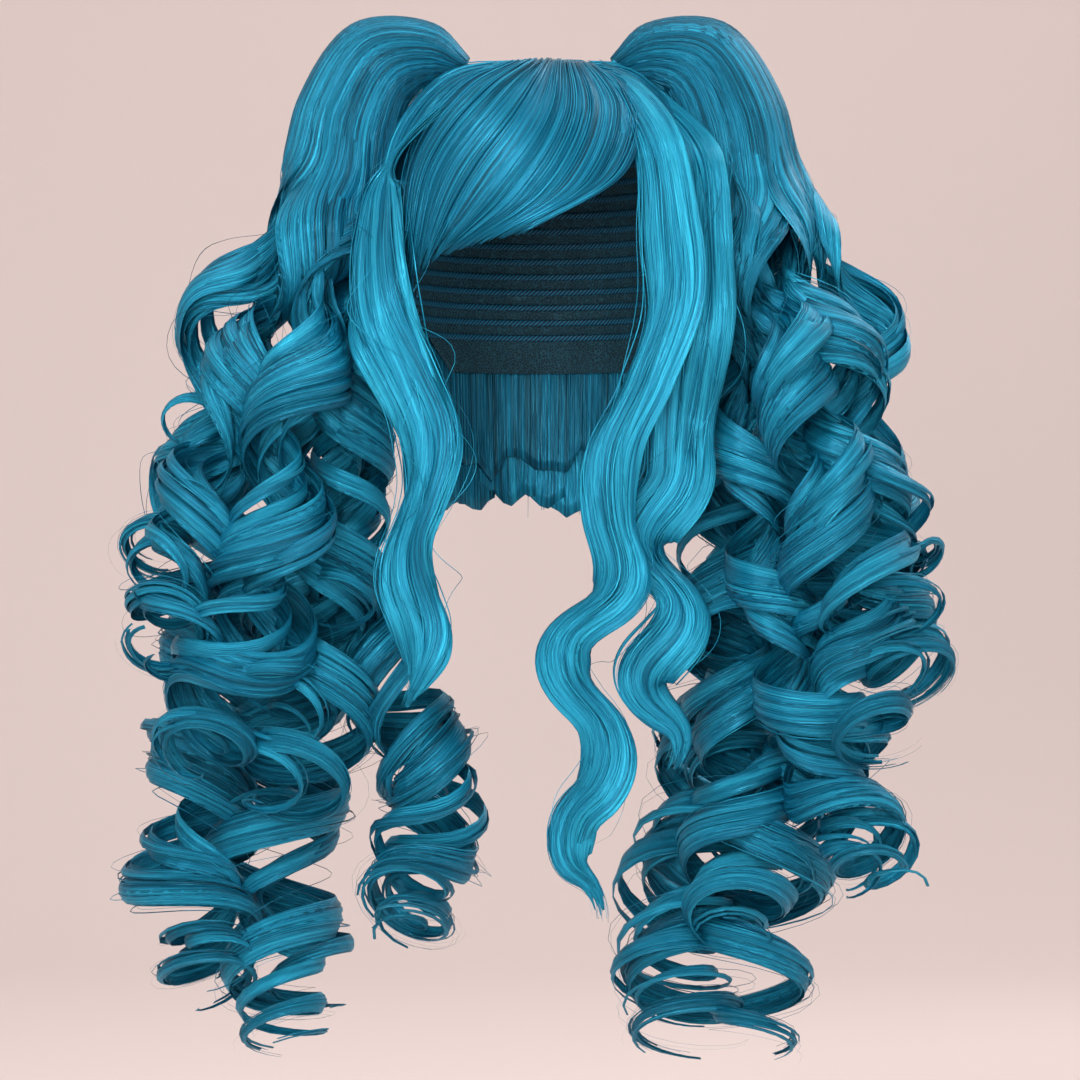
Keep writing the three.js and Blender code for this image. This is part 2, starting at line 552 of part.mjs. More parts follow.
add('cap', cap(), NET);
add('crown_hair', crownHair(), HAIR);
add('fringe', fringe(), HAIR);
for (const row of SIDE_LOCKS) {
  const facing = -row.side * THREE.MathUtils.degToRad(row.face);
  const places = lockPlaces(hangPoints(row.side, row.hang), row, facing, true);
  const lock = lockSolid(places, row, SIDE_LOCK_THICKNESS, SIDE_ROOT_SHARE, SIDE_NARROWING);
  add(row.name, oneSkin(lock.subtract(OVER_HAIR).subtract(fringeOutline(SEAM))), HAIR);
}
add('clip_right', clipSolid(-1, 0).subtract(OVER_HAIR), CLIP_PLASTIC);
add('clip_left', clipSolid(1, 0).subtract(OVER_HAIR), CLIP_PLASTIC);
add('pigtail_right', pigtail(-1, RIGHT_HAND_LOCKS), HAIR_DARK);
add('pigtail_left', pigtail(1, LEFT_HAND_LOCKS), HAIR_DARK);

export default group;
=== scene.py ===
"""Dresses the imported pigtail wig: fine locks of hair over the plain solids, a net cap with rows of wefts,
hair clips, and a pale studio. Laid out as an add-on; run as a script."""

import math

import bpy
import numpy as np
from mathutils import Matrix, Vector


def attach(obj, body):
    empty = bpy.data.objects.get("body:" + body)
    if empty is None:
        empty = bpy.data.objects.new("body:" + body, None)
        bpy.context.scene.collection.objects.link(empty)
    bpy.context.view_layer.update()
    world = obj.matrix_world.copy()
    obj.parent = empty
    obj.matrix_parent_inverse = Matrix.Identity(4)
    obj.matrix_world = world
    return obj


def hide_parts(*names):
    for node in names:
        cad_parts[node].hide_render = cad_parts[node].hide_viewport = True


bl_info = {
    "name": "Pigtail wig",
    "version": (1, 0, 0),
    "blender": (4, 5, 0),
    "location": "View3D > Sidebar > Wig",
    "description": "Builds the hair, cap and clips of a wig with curled pigtails",
    "category": "Object",
}

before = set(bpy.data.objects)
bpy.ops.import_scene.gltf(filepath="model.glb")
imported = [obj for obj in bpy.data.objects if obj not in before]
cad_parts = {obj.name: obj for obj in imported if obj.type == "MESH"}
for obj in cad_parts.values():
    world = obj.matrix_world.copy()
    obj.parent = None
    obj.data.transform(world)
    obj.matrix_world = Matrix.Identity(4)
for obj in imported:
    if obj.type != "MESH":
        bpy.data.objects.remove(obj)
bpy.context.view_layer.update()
MM = 0.001
PER_SEGMENT = 24

# Head form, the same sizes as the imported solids
HALF_WIDTH = 76 * MM
HALF_DEPTH = 96 * MM
CROWN_HEIGHT = 105 * MM
SQUARENESS = 2.5
WIDEST_Z = -CROWN_HEIGHT
NAPE_DROP = 60 * MM
BACK_HAIR_LENGTH = 84 * MM
HAIR_EDGE_Z = -150 * MM
OPENING_TOP = 43 * MM
HAIR_INSIDE = 2.5 * MM
HAIR_OUTSIDE = 9.5 * MM

# Sections below the widest line: drop in nape drops, then shares of the half width and half depth
NAPE_SECTIONS = np.array([
    (0.0, 1.0, 1.0, 0.0),
    (0.5, 0.99, 0.96, 0.03),
    (1.0, 0.96, 0.88, 0.05),
    (1.8, 0.93, 0.84, 0.06),
    (2.6, 0.9, 0.82, 0.06),
])

# Pigtails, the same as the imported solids
TIE_OUT = 43 * MM
TIE_BACK = 12 * MM
TIE_UP = 6 * MM
REACH = 224 * MM
DROP = 560 * MM
DEPTH = 100 * MM
LOCKS_LEAVE_AT = 3
TIGHTENING = 1.35
SWAY_TURN = 0.4
SWAY_DEPTH = 0.35
TIP_FORWARD = 25 * MM
FOREMOST = 0.92 * DEPTH
LEAN = np.array((0.0, -1.0, 1.0)) / math.sqrt(2)

# The arch: out and up from the tie, wide and deep half sizes, as shares of the reach
ARCH = np.array([
    (0.0, 0.0, 0.03, 0.04),
    (0.08, 0.038, 0.078, 0.08),
    (0.21, 0.02, 0.124, 0.116),
    (0.295, -0.125, 0.142, 0.125),
    (0.326, -0.304, 0.142, 0.134),
    (0.335, -0.41, 0.1, 0.1),
])

# Pigtail locks: across, level, curl (mm), turns, start, width (mm), then out, down, fore points
RIGHT_LOCKS = [
    (0.95, 0.2, 13, 2.8, 0.08, 28, [(0.755, 0.192, 0), (0.835, 0.25, 0), (0.83, 0.315, 0.05),
      (0.86, 0.37, 0.1), (0.935, 0.43, 0.1), (0.975, 0.49, 0.1)]),
    (0.6, -0.75, 19, -3.4, 0.1, 36, [(0.67, 0.23, 0.35), (0.755, 0.33, 0.45), (0.795, 0.4, 0.5),
      (0.85, 0.47, 0.55), (0.9, 0.53, 0.6), (0.92, 0.575, 0.7)]),
    (0.18, -1, 22, 3.9, 0.14, 38, [(0.545, 0.23, 0.45), (0.595, 0.33, 0.6), (0.637, 0.43, 0.7),
      (0.68, 0.52, 0.7), (0.755, 0.61, 0.6), (0.838, 0.685, 0.65)]),
    (-0.6, -0.8, 22, -4.1, 0.14, 38, [(0.48, 0.23, 0.2), (0.49, 0.34, 0.2), (0.5, 0.45, 0.2),
      (0.52, 0.56, 0.25), (0.57, 0.65, 0.4), (0.605, 0.73, 0.45)]),
    (-0.95, 0.2, 20, 4.8, 0.18, 34, [(0.47, 0.23, -0.1), (0.475, 0.34, -0.1), (0.475, 0.46, -0.05),
      (0.43, 0.57, 0.1), (0.33, 0.65, 0.2), (0.26, 0.71, 0.3), (0.29, 0.79, 0.3), (0.338, 0.855, 0.3)]),
    (0.6, 0.75, 24, -5.2, 0.18, 36, [(0.69, 0.24, -0.4), (0.76, 0.35, -0.45), (0.815, 0.48, -0.4),
      (0.845, 0.61, -0.25), (0.865, 0.73, 0), (0.875, 0.83, 0.1), (0.812, 0.92, 0.1)]),
    (0.1, 0.3, 25, 5.5, 0.18, 36, [(0.555, 0.23, -0.1), (0.595, 0.36, -0.15), (0.62, 0.5, -0.15),
      (0.637, 0.63, -0.1), (0.662, 0.75, 0), (0.67, 0.85, 0.1), (0.64, 0.975, 0.1)]),
]
LEFT_LOCKS = [
    (0.95, 0.2, 14, 3, 0.08, 28, [(0.775, 0.192, 0), (0.83, 0.26, 0), (0.82, 0.33, 0.05), (0.815, 0.4, 0.1),
      (0.85, 0.46, 0.1), (0.912, 0.505, 0.1)]),
    (0.6, -0.75, 18, -3.9, 0.12, 36, [(0.665, 0.22, 0.35), (0.755, 0.31, 0.45), (0.79, 0.39, 0.5),
      (0.82, 0.47, 0.5), (0.865, 0.55, 0.45), (0.935, 0.615, 0.4)]),
    (0.1, -1, 20, 4.1, 0.14, 38, [(0.545, 0.22, 0.45), (0.613, 0.31, 0.6), (0.675, 0.4, 0.7),
      (0.725, 0.49, 0.7), (0.775, 0.58, 0.6), (0.82, 0.675, 0.65)]),
    (-0.6, -0.8, 20, -4.8, 0.18, 36, [(0.49, 0.22, 0.15), (0.5, 0.32, 0.2), (0.53, 0.42, 0.3),
      (0.58, 0.52, 0.4), (0.66, 0.62, 0.5), (0.755, 0.72, 0.45), (0.82, 0.8, 0.5)]),
    (-0.95, 0.2, 21, 5, 0.18, 34, [(0.47, 0.23, -0.1), (0.465, 0.34, -0.1), (0.46, 0.45, -0.1),
      (0.475, 0.57, 0), (0.505, 0.68, 0.1), (0.505, 0.78, 0.2), (0.465, 0.865, 0.3)]),
    (0.4, 0.3, 25, -5.5, 0.18, 36, [(0.575, 0.23, -0.1), (0.63, 0.35, -0.1), (0.655, 0.47, -0.1),
      (0.642, 0.59, -0.1), (0.6, 0.71, 0), (0.555, 0.82, 0.1), (0.54, 0.98, 0.1)]),
    (-0.3, 0.9, 24, 5.5, 0.18, 34, [(0.505, 0.24, -0.45), (0.525, 0.36, -0.55), (0.53, 0.49, -0.55),
      (0.505, 0.61, -0.45), (0.445, 0.73, -0.3), (0.375, 0.84, -0.1), (0.36, 0.975, 0)]),
]

# Side locks: name, side, curl (mm), turns, facing (degrees), start, width (mm), lead on the head (x, z
# shares of the half width and the crown height), then out, down, fore points
SIDE_LOCKS = [
    ("side_lock_right", -1, 4, 2, 20, 0.1, 40, [(-0.35, 0.05), (-0.75, -0.2)],
     [(0.39, 0.11, 0.26), (0.4, 0.16, 0.42), (0.39, 0.21, 0.57), (0.37, 0.26, 0.69), (0.33, 0.31, 0.74),
      (0.29, 0.37, 0.76), (0.285, 0.44, 0.78), (0.31, 0.51, 0.78), (0.295, 0.57, 0.76),
      (0.325, 0.635, 0.74)]),
    ("side_lock_left_inner", 1, 7, 3, 5, 0.3, 32, [(0.4, 0.05), (0.66, -0.15)],
     [(0.29, 0.08, 0.7), (0.32, 0.16, 0.74), (0.33, 0.24, 0.76), (0.263, 0.32, 0.8), (0.195, 0.385, 0.82),
      (0.175, 0.45, 0.82), (0.18, 0.515, 0.8), (0.1, 0.58, 0.78), (0.14, 0.655, 0.76), (0.15, 0.72, 0.76),
      (0.07, 0.79, 0.75), (0.15, 0.845, 0.74)]),
    ("side_lock_left_outer", 1, 8, 3, 25, 0.25, 40, [(0.5, 0.05), (0.84, -0.15)],
     [(0.375, 0.09, 0.4), (0.385, 0.17, 0.5), (0.385, 0.25, 0.65), (0.36, 0.33, 0.62), (0.3, 0.4, 0.62),
      (0.275, 0.47, 0.6), (0.31, 0.54, 0.6), (0.29, 0.62, 0.6), (0.32, 0.7, 0.6)]),
]

# Guide strands of the fringe, seen from the front, from the parting to the lower edge, right to left
FRINGE_GUIDES = np.array([
    [(-0.26, 0.04), (-0.66, -0.08), (-1.0, -0.45), (-1.06, -1.02)],
    [(0.0, 0.06), (-0.32, -0.18), (-0.74, -0.58), (-0.92, -1.12)],
    [(0.15, 0.06), (0.1, -0.28), (-0.26, -0.7), (-0.76, -1.04)],
    [(0.3, 0.06), (0.46, -0.24), (0.26, -0.64), (-0.42, -0.97)],
    [(0.4, 0.05), (0.74, -0.22), (0.64, -0.56), (-0.1, -0.92)],
])
WHORL = (26 * MM, -6 * MM)


class WigSizes(bpy.types.PropertyGroup):
    """Sizes and numbers of strands."""

    tufts_per_lock: bpy.props.IntProperty(
        name="Tufts per lock", description="Raised strips of hair side by side on each curled lock",
        default=5)
    crown_strips: bpy.props.IntProperty(
        name="Crown strips", description="Strips of hair combed over the crown and the back", default=58)
    fringe_strips: bpy.props.IntProperty(
        name="Fringe strips", description="Strips of hair combed across the forehead", default=16)
    flyaways: bpy.props.IntProperty(
        name="Flyaways", description="Single loose hairs on each pigtail", default=42)
    small_locks: bpy.props.IntProperty(
        name="Small locks", description="Small locks between the large ones of each pigtail", default=26)
    weft_spacing: bpy.props.FloatProperty(
        name="Weft spacing", description="Height between the rows of wefts in the cap", default=9 * MM,
        unit="LENGTH", subtype="DISTANCE")


def colour_property(name, description, default):
    return bpy.props.FloatVectorProperty(
        name=name, description=description, default=default, size=3, subtype="COLOR", min=0, max=1)


class WigColours(bpy.types.PropertyGroup):
    """Colours, in linear light."""

    # hair_dark and hair_light take the colours of shaded and highlit hair: painted shade between strands and
    # painted highlight on the lightest strands, laid at random over the fibres' own tone differences.
    hair_dark: colour_property("Hair dark", "Colour of the hair between strands", (0.0, 0.022, 0.046))
    hair_middle: colour_property("Hair middle", "Main colour of the hair", (0.002, 0.15, 0.27))
    hair_light: colour_property("Hair light", "Colour of the hair's lightest strands", (0.02, 0.36, 0.54))
    net: colour_property("Net", "Colour of the elastic net", (0.006, 0.05, 0.075))
    clip: colour_property("Clip", "Colour of the plastic clips", (0.01, 0.014, 0.016))
    backdrop: colour_property("Backdrop", "Colour of the floor and wall", (0.745, 0.627, 0.6))


# Numbers and curves


def smooth(low, high, values):
    """0 below low, 1 above high, and 3s^2 - 2s^3 of the share s between them."""
    share = np.clip((values - low) / (high - low), 0, 1)
    return share * share * (3 - 2 * share)


def unit(vectors):
    """Vectors divided by their length."""
    return vectors / np.maximum(np.linalg.norm(vectors, axis=-1, keepdims=True), 1e-12)


def lengths_along(paths):
    """Running length from the first point of each path."""
    steps = np.linalg.norm(np.diff(paths, axis=1), axis=-1)
    return np.concatenate([np.zeros((len(paths), 1)), np.cumsum(steps, axis=1)], axis=1)


def resample(paths, places, *carried):
    """Paths and the values carried on them, read again at shares of their length. Each row's running share
    is lifted by twice its row number, so that one interpolation serves all rows."""
    run = lengths_along(paths)
    rows = np.arange(len(paths))[:, None] * 2.0
    known = (run / run[:, -1:] + rows).ravel()
    wanted = np.broadcast_to(places, (len(paths), np.shape(places)[-1])) + rows
    results = []
    for values in (paths, *carried):
        flat = values.reshape(len(known), -1)
        columns = [np.interp(wanted.ravel(), known, flat[:, i]) for i in range(flat.shape[1])]
        results.append(np.stack(columns, -1).reshape(wanted.shape + values.shape[2:]))
    return results


def spline(points, per_segment=PER_SEGMENT):
    """Centripetal Catmull-Rom curve through each row of points: on each segment a cubic whose end slopes
    follow from the square roots of the distances between neighbouring points."""
    first = 2 * points[:, :1] - points[:, 1:2]
    last = 2 * points[:, -1:] - points[:, -2:-1]
    known = np.concatenate([first, points, last], axis=1)
    a, b, c, d = known[:, :-3], known[:, 1:-2], known[:, 2:-1], known[:, 3:]
    ab, bc, cd = (np.sqrt(np.maximum(np.linalg.norm(q - p, axis=-1, keepdims=True), 1e-6))
                  for p, q in ((a, b), (b, c), (c, d)))
    slope_b = ((b - a) / ab - (c - a) / (ab + bc) + (c - b) / bc) * bc
    slope_c = ((c - b) / bc - (d - b) / (bc + cd) + (d - c) / cd) * bc
    t = (np.arange(per_segment) / per_segment)[:, None]
    b, c, slope_b, slope_c = (v[:, :, None, :] for v in (b, c, slope_b, slope_c))
    curve = (b + slope_b * t + (3 * (c - b) - 2 * slope_b - slope_c) * t ** 2
             + (2 * (b - c) + slope_b + slope_c) * t ** 3)
    rows = curve.reshape(len(points), -1, points.shape[-1])
    return np.concatenate([rows, points[:, -1:]], axis=1)


# Meshes


def tube_mesh(paths, flat, half_wide, half_thick, sides, tone, seed):
    """Closed flattened tubes. Each point of a path carries a ring of sides points at equal angles of an
    ellipse whose long axis is square to the path and to flat. Returns places, quads, strand coordinates
    (millimetres across the lock and along it) and tone."""
    along = unit(np.gradient(paths, axis=1))
    up = unit(flat - (flat * along).sum(-1, keepdims=True) * along)
    wide = np.cross(along, up)
    count, steps = paths.shape[:2]
    angles = np.arange(sides) * 2 * np.pi / sides
    cosine, sine = np.cos(angles)[:, None], np.sin(angles)[:, None]
    places = (paths[:, :, None] + wide[:, :, None] * cosine * half_wide[:, :, None, None]
              + up[:, :, None] * sine * half_thick[:, :, None, None])
    offset = np.random.default_rng(seed).uniform(0, 900, (count, 1, 1))
    u = offset + np.cos(angles) * half_wide[:, :, None] / MM
    v = lengths_along(paths)[:, :, None] / MM + offset + 0 * angles
    shade = np.broadcast_to(tone[:, None, None], v.shape)
    return closed_rings(places, u, v, shade)


def strip_mesh(rails, flat, crown, ridge, tone, seed, painted_root_shade=0.0):
    """Closed strips of hair. rails holds each strip's lines side by side: strips, lines, steps, xyz. The
    outer face is lifted from the lines along flat by crown times 1 - x^2, x running from -1 to 1 across the
    strip, and by ridges: sines along each line with phases of its own. The inner face lies just under. The
    tone rises by the last argument between 110 and 240 mm from the root: painted shade that keeps the roots
    darker than the rest of the strip."""
    rng = np.random.default_rng(seed)
    along = unit(np.gradient(rails, axis=2))
    flat = unit(flat - (flat * along).sum(-1, keepdims=True) * along)
    turned = ((rails[:, -1] - rails[:, 0]) * np.cross(along, flat).mean(1)).sum((1, 2)) < 0
    rails = np.where(turned[:, None, None, None], rails[:, ::-1], rails)
    flat = np.where(turned[:, None, None, None], flat[:, ::-1], flat)
    strips, lines, steps = rails.shape[:3]
    x = np.linspace(-1, 1, lines)[:, None]
    bulge = 1 - x ** 2
    run = lengths_along(rails.mean(1))[:, None] / MM
    phase = rng.uniform(0, 2 * np.pi, (3, strips, lines, 1))
    wave = 0.5 * np.sin(phase[0]) + 0.6 * np.sin(run / 17 + phase[1]) + 0.5 * np.sin(run / 41 + phase[2])
    lift = crown[:, None] * bulge + ridge * wave * bulge ** 0.4
    outer = rails + flat * lift[..., None]
    inner = rails - flat * (0.3 * crown[:, None] * bulge + 0.12 * MM)[..., None]
    places = np.concatenate([outer[:, ::-1], inner], axis=1).transpose(0, 2, 1, 3)
    offset = rng.uniform(0, 900, (strips, 1, 1))
    width = np.linalg.norm(rails[:, -1] - rails[:, 0], axis=-1).max(1)[:, None, None] / MM
    line = np.concatenate([x[::-1, 0], x[:, 0]])
    u = offset + line * width / 2 + np.repeat((0, 200), lines) + np.zeros((strips, steps, 1))
    v = run.transpose(0, 2, 1) + offset + 0 * line
    shade = tone[:, None, None] + 0.22 * rng.uniform(-1, 1, (strips, 1, 2 * lines)) + 0 * v
    # Painted shade: the tone is held down at the roots and rises between 110 and 240 mm along the strip.
    shade = shade + painted_root_shade * smooth(110, 240, run.transpose(0, 2, 1))
    return closed_rings(places, u, v, shade)


def closed_rings(places, u, v, shade):
    """Joins rings of points, given as bodies, steps, ring points, xyz, into closed bodies with quad ends."""
    count, steps, ring = places.shape[:3]
    index = np.arange(count * steps * ring).reshape(count, steps, ring)
    after = np.roll(index, -1, axis=2)
    walls = np.stack([index[:, :-1], index[:, 1:], after[:, 1:], after[:, :-1]], -1).reshape(-1, 4)
    near = np.arange((ring - 2) // 2)
    corners = np.stack([near, near + 1, ring - 2 - near, ring - 1 - near], -1)
    first = index[:, 0][:, corners].reshape(-1, 4)
    last = index[:, -1][:, corners[:, ::-1]].reshape(-1, 4)
    return (places.reshape(-1, 3), np.concatenate([walls, first, last]), np.stack([u, v], -1).reshape(-1, 2),
            shade.reshape(-1))


def join(parts):
    """Several meshes' arrays as one."""
    shift = np.cumsum([0] + [len(part[0]) for part in parts[:-1]])
    return (np.concatenate([part[0] for part in parts]),
            np.concatenate([part[1] + add for part, add in zip(parts, shift)]),
            np.concatenate([part[2] for part in parts]),
            np.concatenate([part[3] for part in parts]))


def add_piece(name, arrays, material, slot, *nodes):
    """Makes the arrays a smooth-shaded object that rides with the wig."""
    places, quads, strand, tone = arrays
    mesh = bpy.data.meshes.new(name)
    mesh.from_pydata(places, [], quads)
    mesh.shade_smooth()
    layer = mesh.uv_layers.new(name="strand")
    layer.data.foreach_set("uv", strand[quads.ravel()].astype(np.float32).ravel())
    mesh.attributes.new("tone", "FLOAT", "POINT").data.foreach_set("value", tone.astype(np.float32))
    mesh.materials.append(material)
    piece = bpy.data.objects.new(name, mesh)
    bpy.context.scene.collection.objects.link(piece)
    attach(piece, "root")
    if nodes:
        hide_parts(*nodes)
    return piece


# Materials


class Signal:
    """A shader socket with arithmetic: each operator adds its Math node."""

    def __init__(self, finish, socket):
        self.finish = finish
        self.socket = socket

    def maths(self, operation, *values):
        return self.finish.node("ShaderNodeMath", {"operation": operation}, dict(enumerate(values)))

    def __add__(self, other):
        return self.maths("ADD", self, other)

    def __radd__(self, other):
        return self.maths("ADD", other, self)

    def __sub__(self, other):
        return self.maths("SUBTRACT", self, other)

    def __rsub__(self, other):
        return self.maths("SUBTRACT", other, self)

    def __mul__(self, other):
        return self.maths("MULTIPLY", self, other)

    def __rmul__(self, other):
        return self.maths("MULTIPLY", other, self)


class Finish:
    """A material being put together."""

    def __init__(self, name):
        self.material = bpy.data.materials.new(name)
        self.material.use_nodes = True
        self.tree = self.material.node_tree
        self.shader = self.tree.nodes["Principled BSDF"]

    def node(self, kind, settings=None, sockets=None, output=0):
        """Adds a node: first its settings (stops for a ramp), then its sockets' values or links."""
        node = self.tree.nodes.new(kind)
        for key, value in (settings or {}).items():
            if key == "stops":
                ramp = node.color_ramp
                while len(ramp.elements) < len(value):
                    ramp.elements.new(0.5)
                for element, (place, colour) in zip(ramp.elements, value):
                    element.position = place
                    element.color = (*colour, 1)
            else:
                setattr(node, key, value)
        for key, value in (sockets or {}).items():
            self.feed(node.inputs[key], value)
        return Signal(self, node.outputs[output])

    def feed(self, socket, value):
        if isinstance(value, Signal):
            self.tree.links.new(value.socket, socket)
        else:
            socket.default_value = value

    def shade(self, **values):
        """Feeds the shader's sockets, named with _ for a space."""
        for key, value in values.items():
            self.feed(self.shader.inputs[key.replace("_", " ")], value)
        return self.material

    def noise(self, vector, stretch, detail=2.0, roughness=0.5):
        """Noise on coordinates that are first multiplied by stretch."""
        scaled = self.node("ShaderNodeVectorMath", {"operation": "MULTIPLY"}, {0: vector, 1: stretch})
        return self.node("ShaderNodeTexNoise", None,
                         {"Vector": scaled, "Scale": 1.0, "Detail": detail, "Roughness": roughness})

    def ramp(self, factor, *stops):
        """A colour ramp over factor, from pairs of place and colour."""
        return self.node("ShaderNodeValToRGB", {"stops": stops}, {"Fac": factor})

    def bump(self, height, strength, distance):
        return self.node("ShaderNodeBump", None,
                         {"Height": height, "Strength": strength, "Distance": distance})


def hair_finish(name, colours, painted_light_shift=0.0, contrast=1.9):
    """Fibre streaks along the strand coordinates, in colour, roughness and bump. The colour runs from
    painted shade between strands to painted highlight on the lightest strands, strewn at random over the
    fibres' own tone
    differences. The shift after the colours lightens the whole piece when positive and darkens it when
    negative:
    painted light, which makes the pieces of the hair lit and shaded copies of one colour. contrast sets how
    much single fibres differ."""
    finish = Finish(name)
    place = finish.node("ShaderNodeUVMap", {"uv_map": "strand"})
    tone = finish.node("ShaderNodeAttribute", {"attribute_name": "tone"}, output=2)
    broad = finish.noise(place, (0.16, 0.012, 1), 1.0)
    streaks = finish.noise(place, (0.4, 0.006, 1), 2.0)
    fibres = finish.noise(place, (1.05, 0.01, 1), 3.0, 0.65)
    # The piece's shift enters here: painted light over the whole piece.
    light = streaks * 0.7 + fibres * contrast + broad * 0.45 + tone * 0.3 - (0.27 + 0.5 * contrast - painted_light_shift)
    # The ramp's dark stop is painted shade between strands and its light stop a painted highlight. The noise
    # strews them at random, together with the fibres' own tone differences.
    colour = finish.ramp(light, (0.16, colours.hair_dark), (0.47, colours.hair_middle),
                         (0.86, colours.hair_light))
    relief = streaks * 0.4 + fibres * 0.6
    return finish.shade(
        Base_Color=colour, Roughness=fibres * 0.25 + 0.2, Normal=finish.bump(relief, 0.9, 0.002),
        Metallic=0.35, Specular_IOR_Level=1.0, Specular_Tint=(0.25, 0.8, 1.0, 1.0))


def net_finish(colours):
    """A fine elastic net: threads along the edges of small cells, on the cap's own coordinates."""
    finish = Finish("elastic_net")
    place = finish.node("ShaderNodeTexCoord", output=3)
    mesh = finish.node("ShaderNodeTexVoronoi", {"feature": "DISTANCE_TO_EDGE"},
                       {"Vector": place, "Scale": 620.0})
    threads = 1 - finish.node("ShaderNodeMapRange", None,
                              {"Value": mesh, "From Min": 0.04, "From Max": 0.16})
    patches = finish.noise(place, (60, 60, 60), 2.0)
    dark = tuple(0.35 * part for part in colours.net)
    light = tuple(1.9 * part for part in colours.net)
    colour = finish.ramp(threads * 0.7 + patches * 0.3, (0.1, dark), (0.9, light))
    return finish.shade(Base_Color=colour, Roughness=0.85 - threads * 0.15,
                        Normal=finish.bump(threads, 0.6, 0.0005))


def stitch_finish(colours):
    """A sewn weft band: slanting stitches along the strand coordinates."""
    finish = Finish("sewn_weft")
    place = finish.node("ShaderNodeUVMap", {"uv_map": "strand"})
    wave = finish.node("ShaderNodeTexWave", {"wave_type": "BANDS", "bands_direction": "DIAGONAL"},
                       {"Vector": place, "Scale": 0.24, "Distortion": 0.6, "Detail": 1.0})
    colour = finish.ramp(wave, (0.2, colours.hair_dark), (0.8, colours.hair_middle))
    return finish.shade(Base_Color=colour, Roughness=0.7 - wave * 0.15,
                        Normal=finish.bump(wave, 0.7, 0.0006))


def clip_finish(colours):
    """Moulded plastic with a fine grain and worn spots."""
    finish = Finish("clip_plastic")
    place = finish.node("ShaderNodeTexCoord", output=3)
    grain = finish.noise(place, (1500, 1500, 1500), 2.0)
    wear = finish.noise(place, (120, 120, 120), 3.0)
    light = tuple(2.2 * part for part in colours.clip)
    colour = finish.ramp(wear, (0.35, colours.clip), (0.8, light))
    return finish.shade(Base_Color=colour, Roughness=wear * 0.25 + 0.3,
                        Normal=finish.bump(grain, 0.25, 0.0002))


# Head form


def dome_height(x, y, wall):
    """Height of the head grown by wall over a place in plan: (1 - q^n)^(1/n) of the crown height, where q is
    the place's share of the way to the edge and n the squareness."""
    share = np.sqrt((x / (HALF_WIDTH + wall)) ** 2 + (y / (HALF_DEPTH + wall)) ** 2)
    rise = np.clip(1 - np.clip(share, 0, 1) ** SQUARENESS, 0, 1) ** (1 / SQUARENESS)
    return WIDEST_Z + (CROWN_HEIGHT + wall) * rise


def front_depth(x, z, wall):
    """How far forward the grown head reaches at a place seen from the front."""
    rise = np.clip((z - WIDEST_Z) / (CROWN_HEIGHT + wall), 0, 0.999)
    radius = (1 - rise ** SQUARENESS) ** (1 / SQUARENESS)
    side = np.minimum(np.abs(x) / (HALF_WIDTH + wall), 0.999)
    return -(HALF_DEPTH + wall) * np.sqrt(np.maximum(radius ** 2 - side ** 2, 0.0004))


def below_widest(z, wall):
    """Half width, half depth and middle of the head's section at a height below its widest line."""
    drop = np.clip((WIDEST_Z - z) / NAPE_DROP, 0, NAPE_SECTIONS[-1, 0])
    width, depth, back = (np.interp(drop, NAPE_SECTIONS[:, 0], NAPE_SECTIONS[:, i]) for i in (1, 2, 3))
    return HALF_WIDTH * width + wall, HALF_DEPTH * depth + wall, HALF_DEPTH * back


def combed_paths(bearings, ends, wall, steps):
    """Paths that leave the whorl in the given bearings, run straight in plan over the dome to its edge, and
    then follow the head's sections straight down to their end heights."""
    ray = np.stack([np.cos(bearings), np.sin(bearings)], -1)
    a, b = HALF_WIDTH + wall, HALF_DEPTH + wall
    scaled = ray / (a, b)
    start = np.array(WHORL) / (a, b)
    middle = (scaled * start).sum(-1)
    square = (scaled ** 2).sum(-1)
    reach = (-middle + np.sqrt(middle ** 2 - square * ((start ** 2).sum() - 1))) / square
    shares = np.sin(np.linspace(0.02, 1, 90) * np.pi / 2)
    plan = np.array(WHORL) + (reach[:, None] * shares)[:, :, None] * ray[:, None]
    dome = np.concatenate([plan, dome_height(plan[..., 0], plan[..., 1], wall)[..., None]], -1)
    edge = plan[:, -1] / (a, b)
    drop = np.linspace(0.02, 1, 60)
    z = WIDEST_Z + (np.minimum(ends, WIDEST_Z - 1 * MM)[:, None] - WIDEST_Z) * drop
    width, depth, back = below_widest(z, wall)
    sides = np.stack([edge[:, :1] * width, edge[:, 1:] * depth + back, z], -1)
    paths = np.concatenate([dome, sides], axis=1)
    low = paths[..., 2] < ends[:, None]
    run = lengths_along(paths)
    last = np.where(low.any(1), run[np.arange(len(paths)), low.argmax(1)], run[:, -1]) / run[:, -1]
    return resample(paths, np.linspace(0, 1, steps) * last[:, None])[0]


def head_normals(paths):
    """Outward directions of the head at given places: the gradient of its rounded section."""
    outward = paths / (HALF_WIDTH ** 2, HALF_DEPTH ** 2, CROWN_HEIGHT ** 2)
    height = np.maximum(paths[..., 2] - WIDEST_Z, 0)
    outward[..., 2] = (height / CROWN_HEIGHT) ** (SQUARENESS - 1) / CROWN_HEIGHT
    return unit(outward)


# Locks


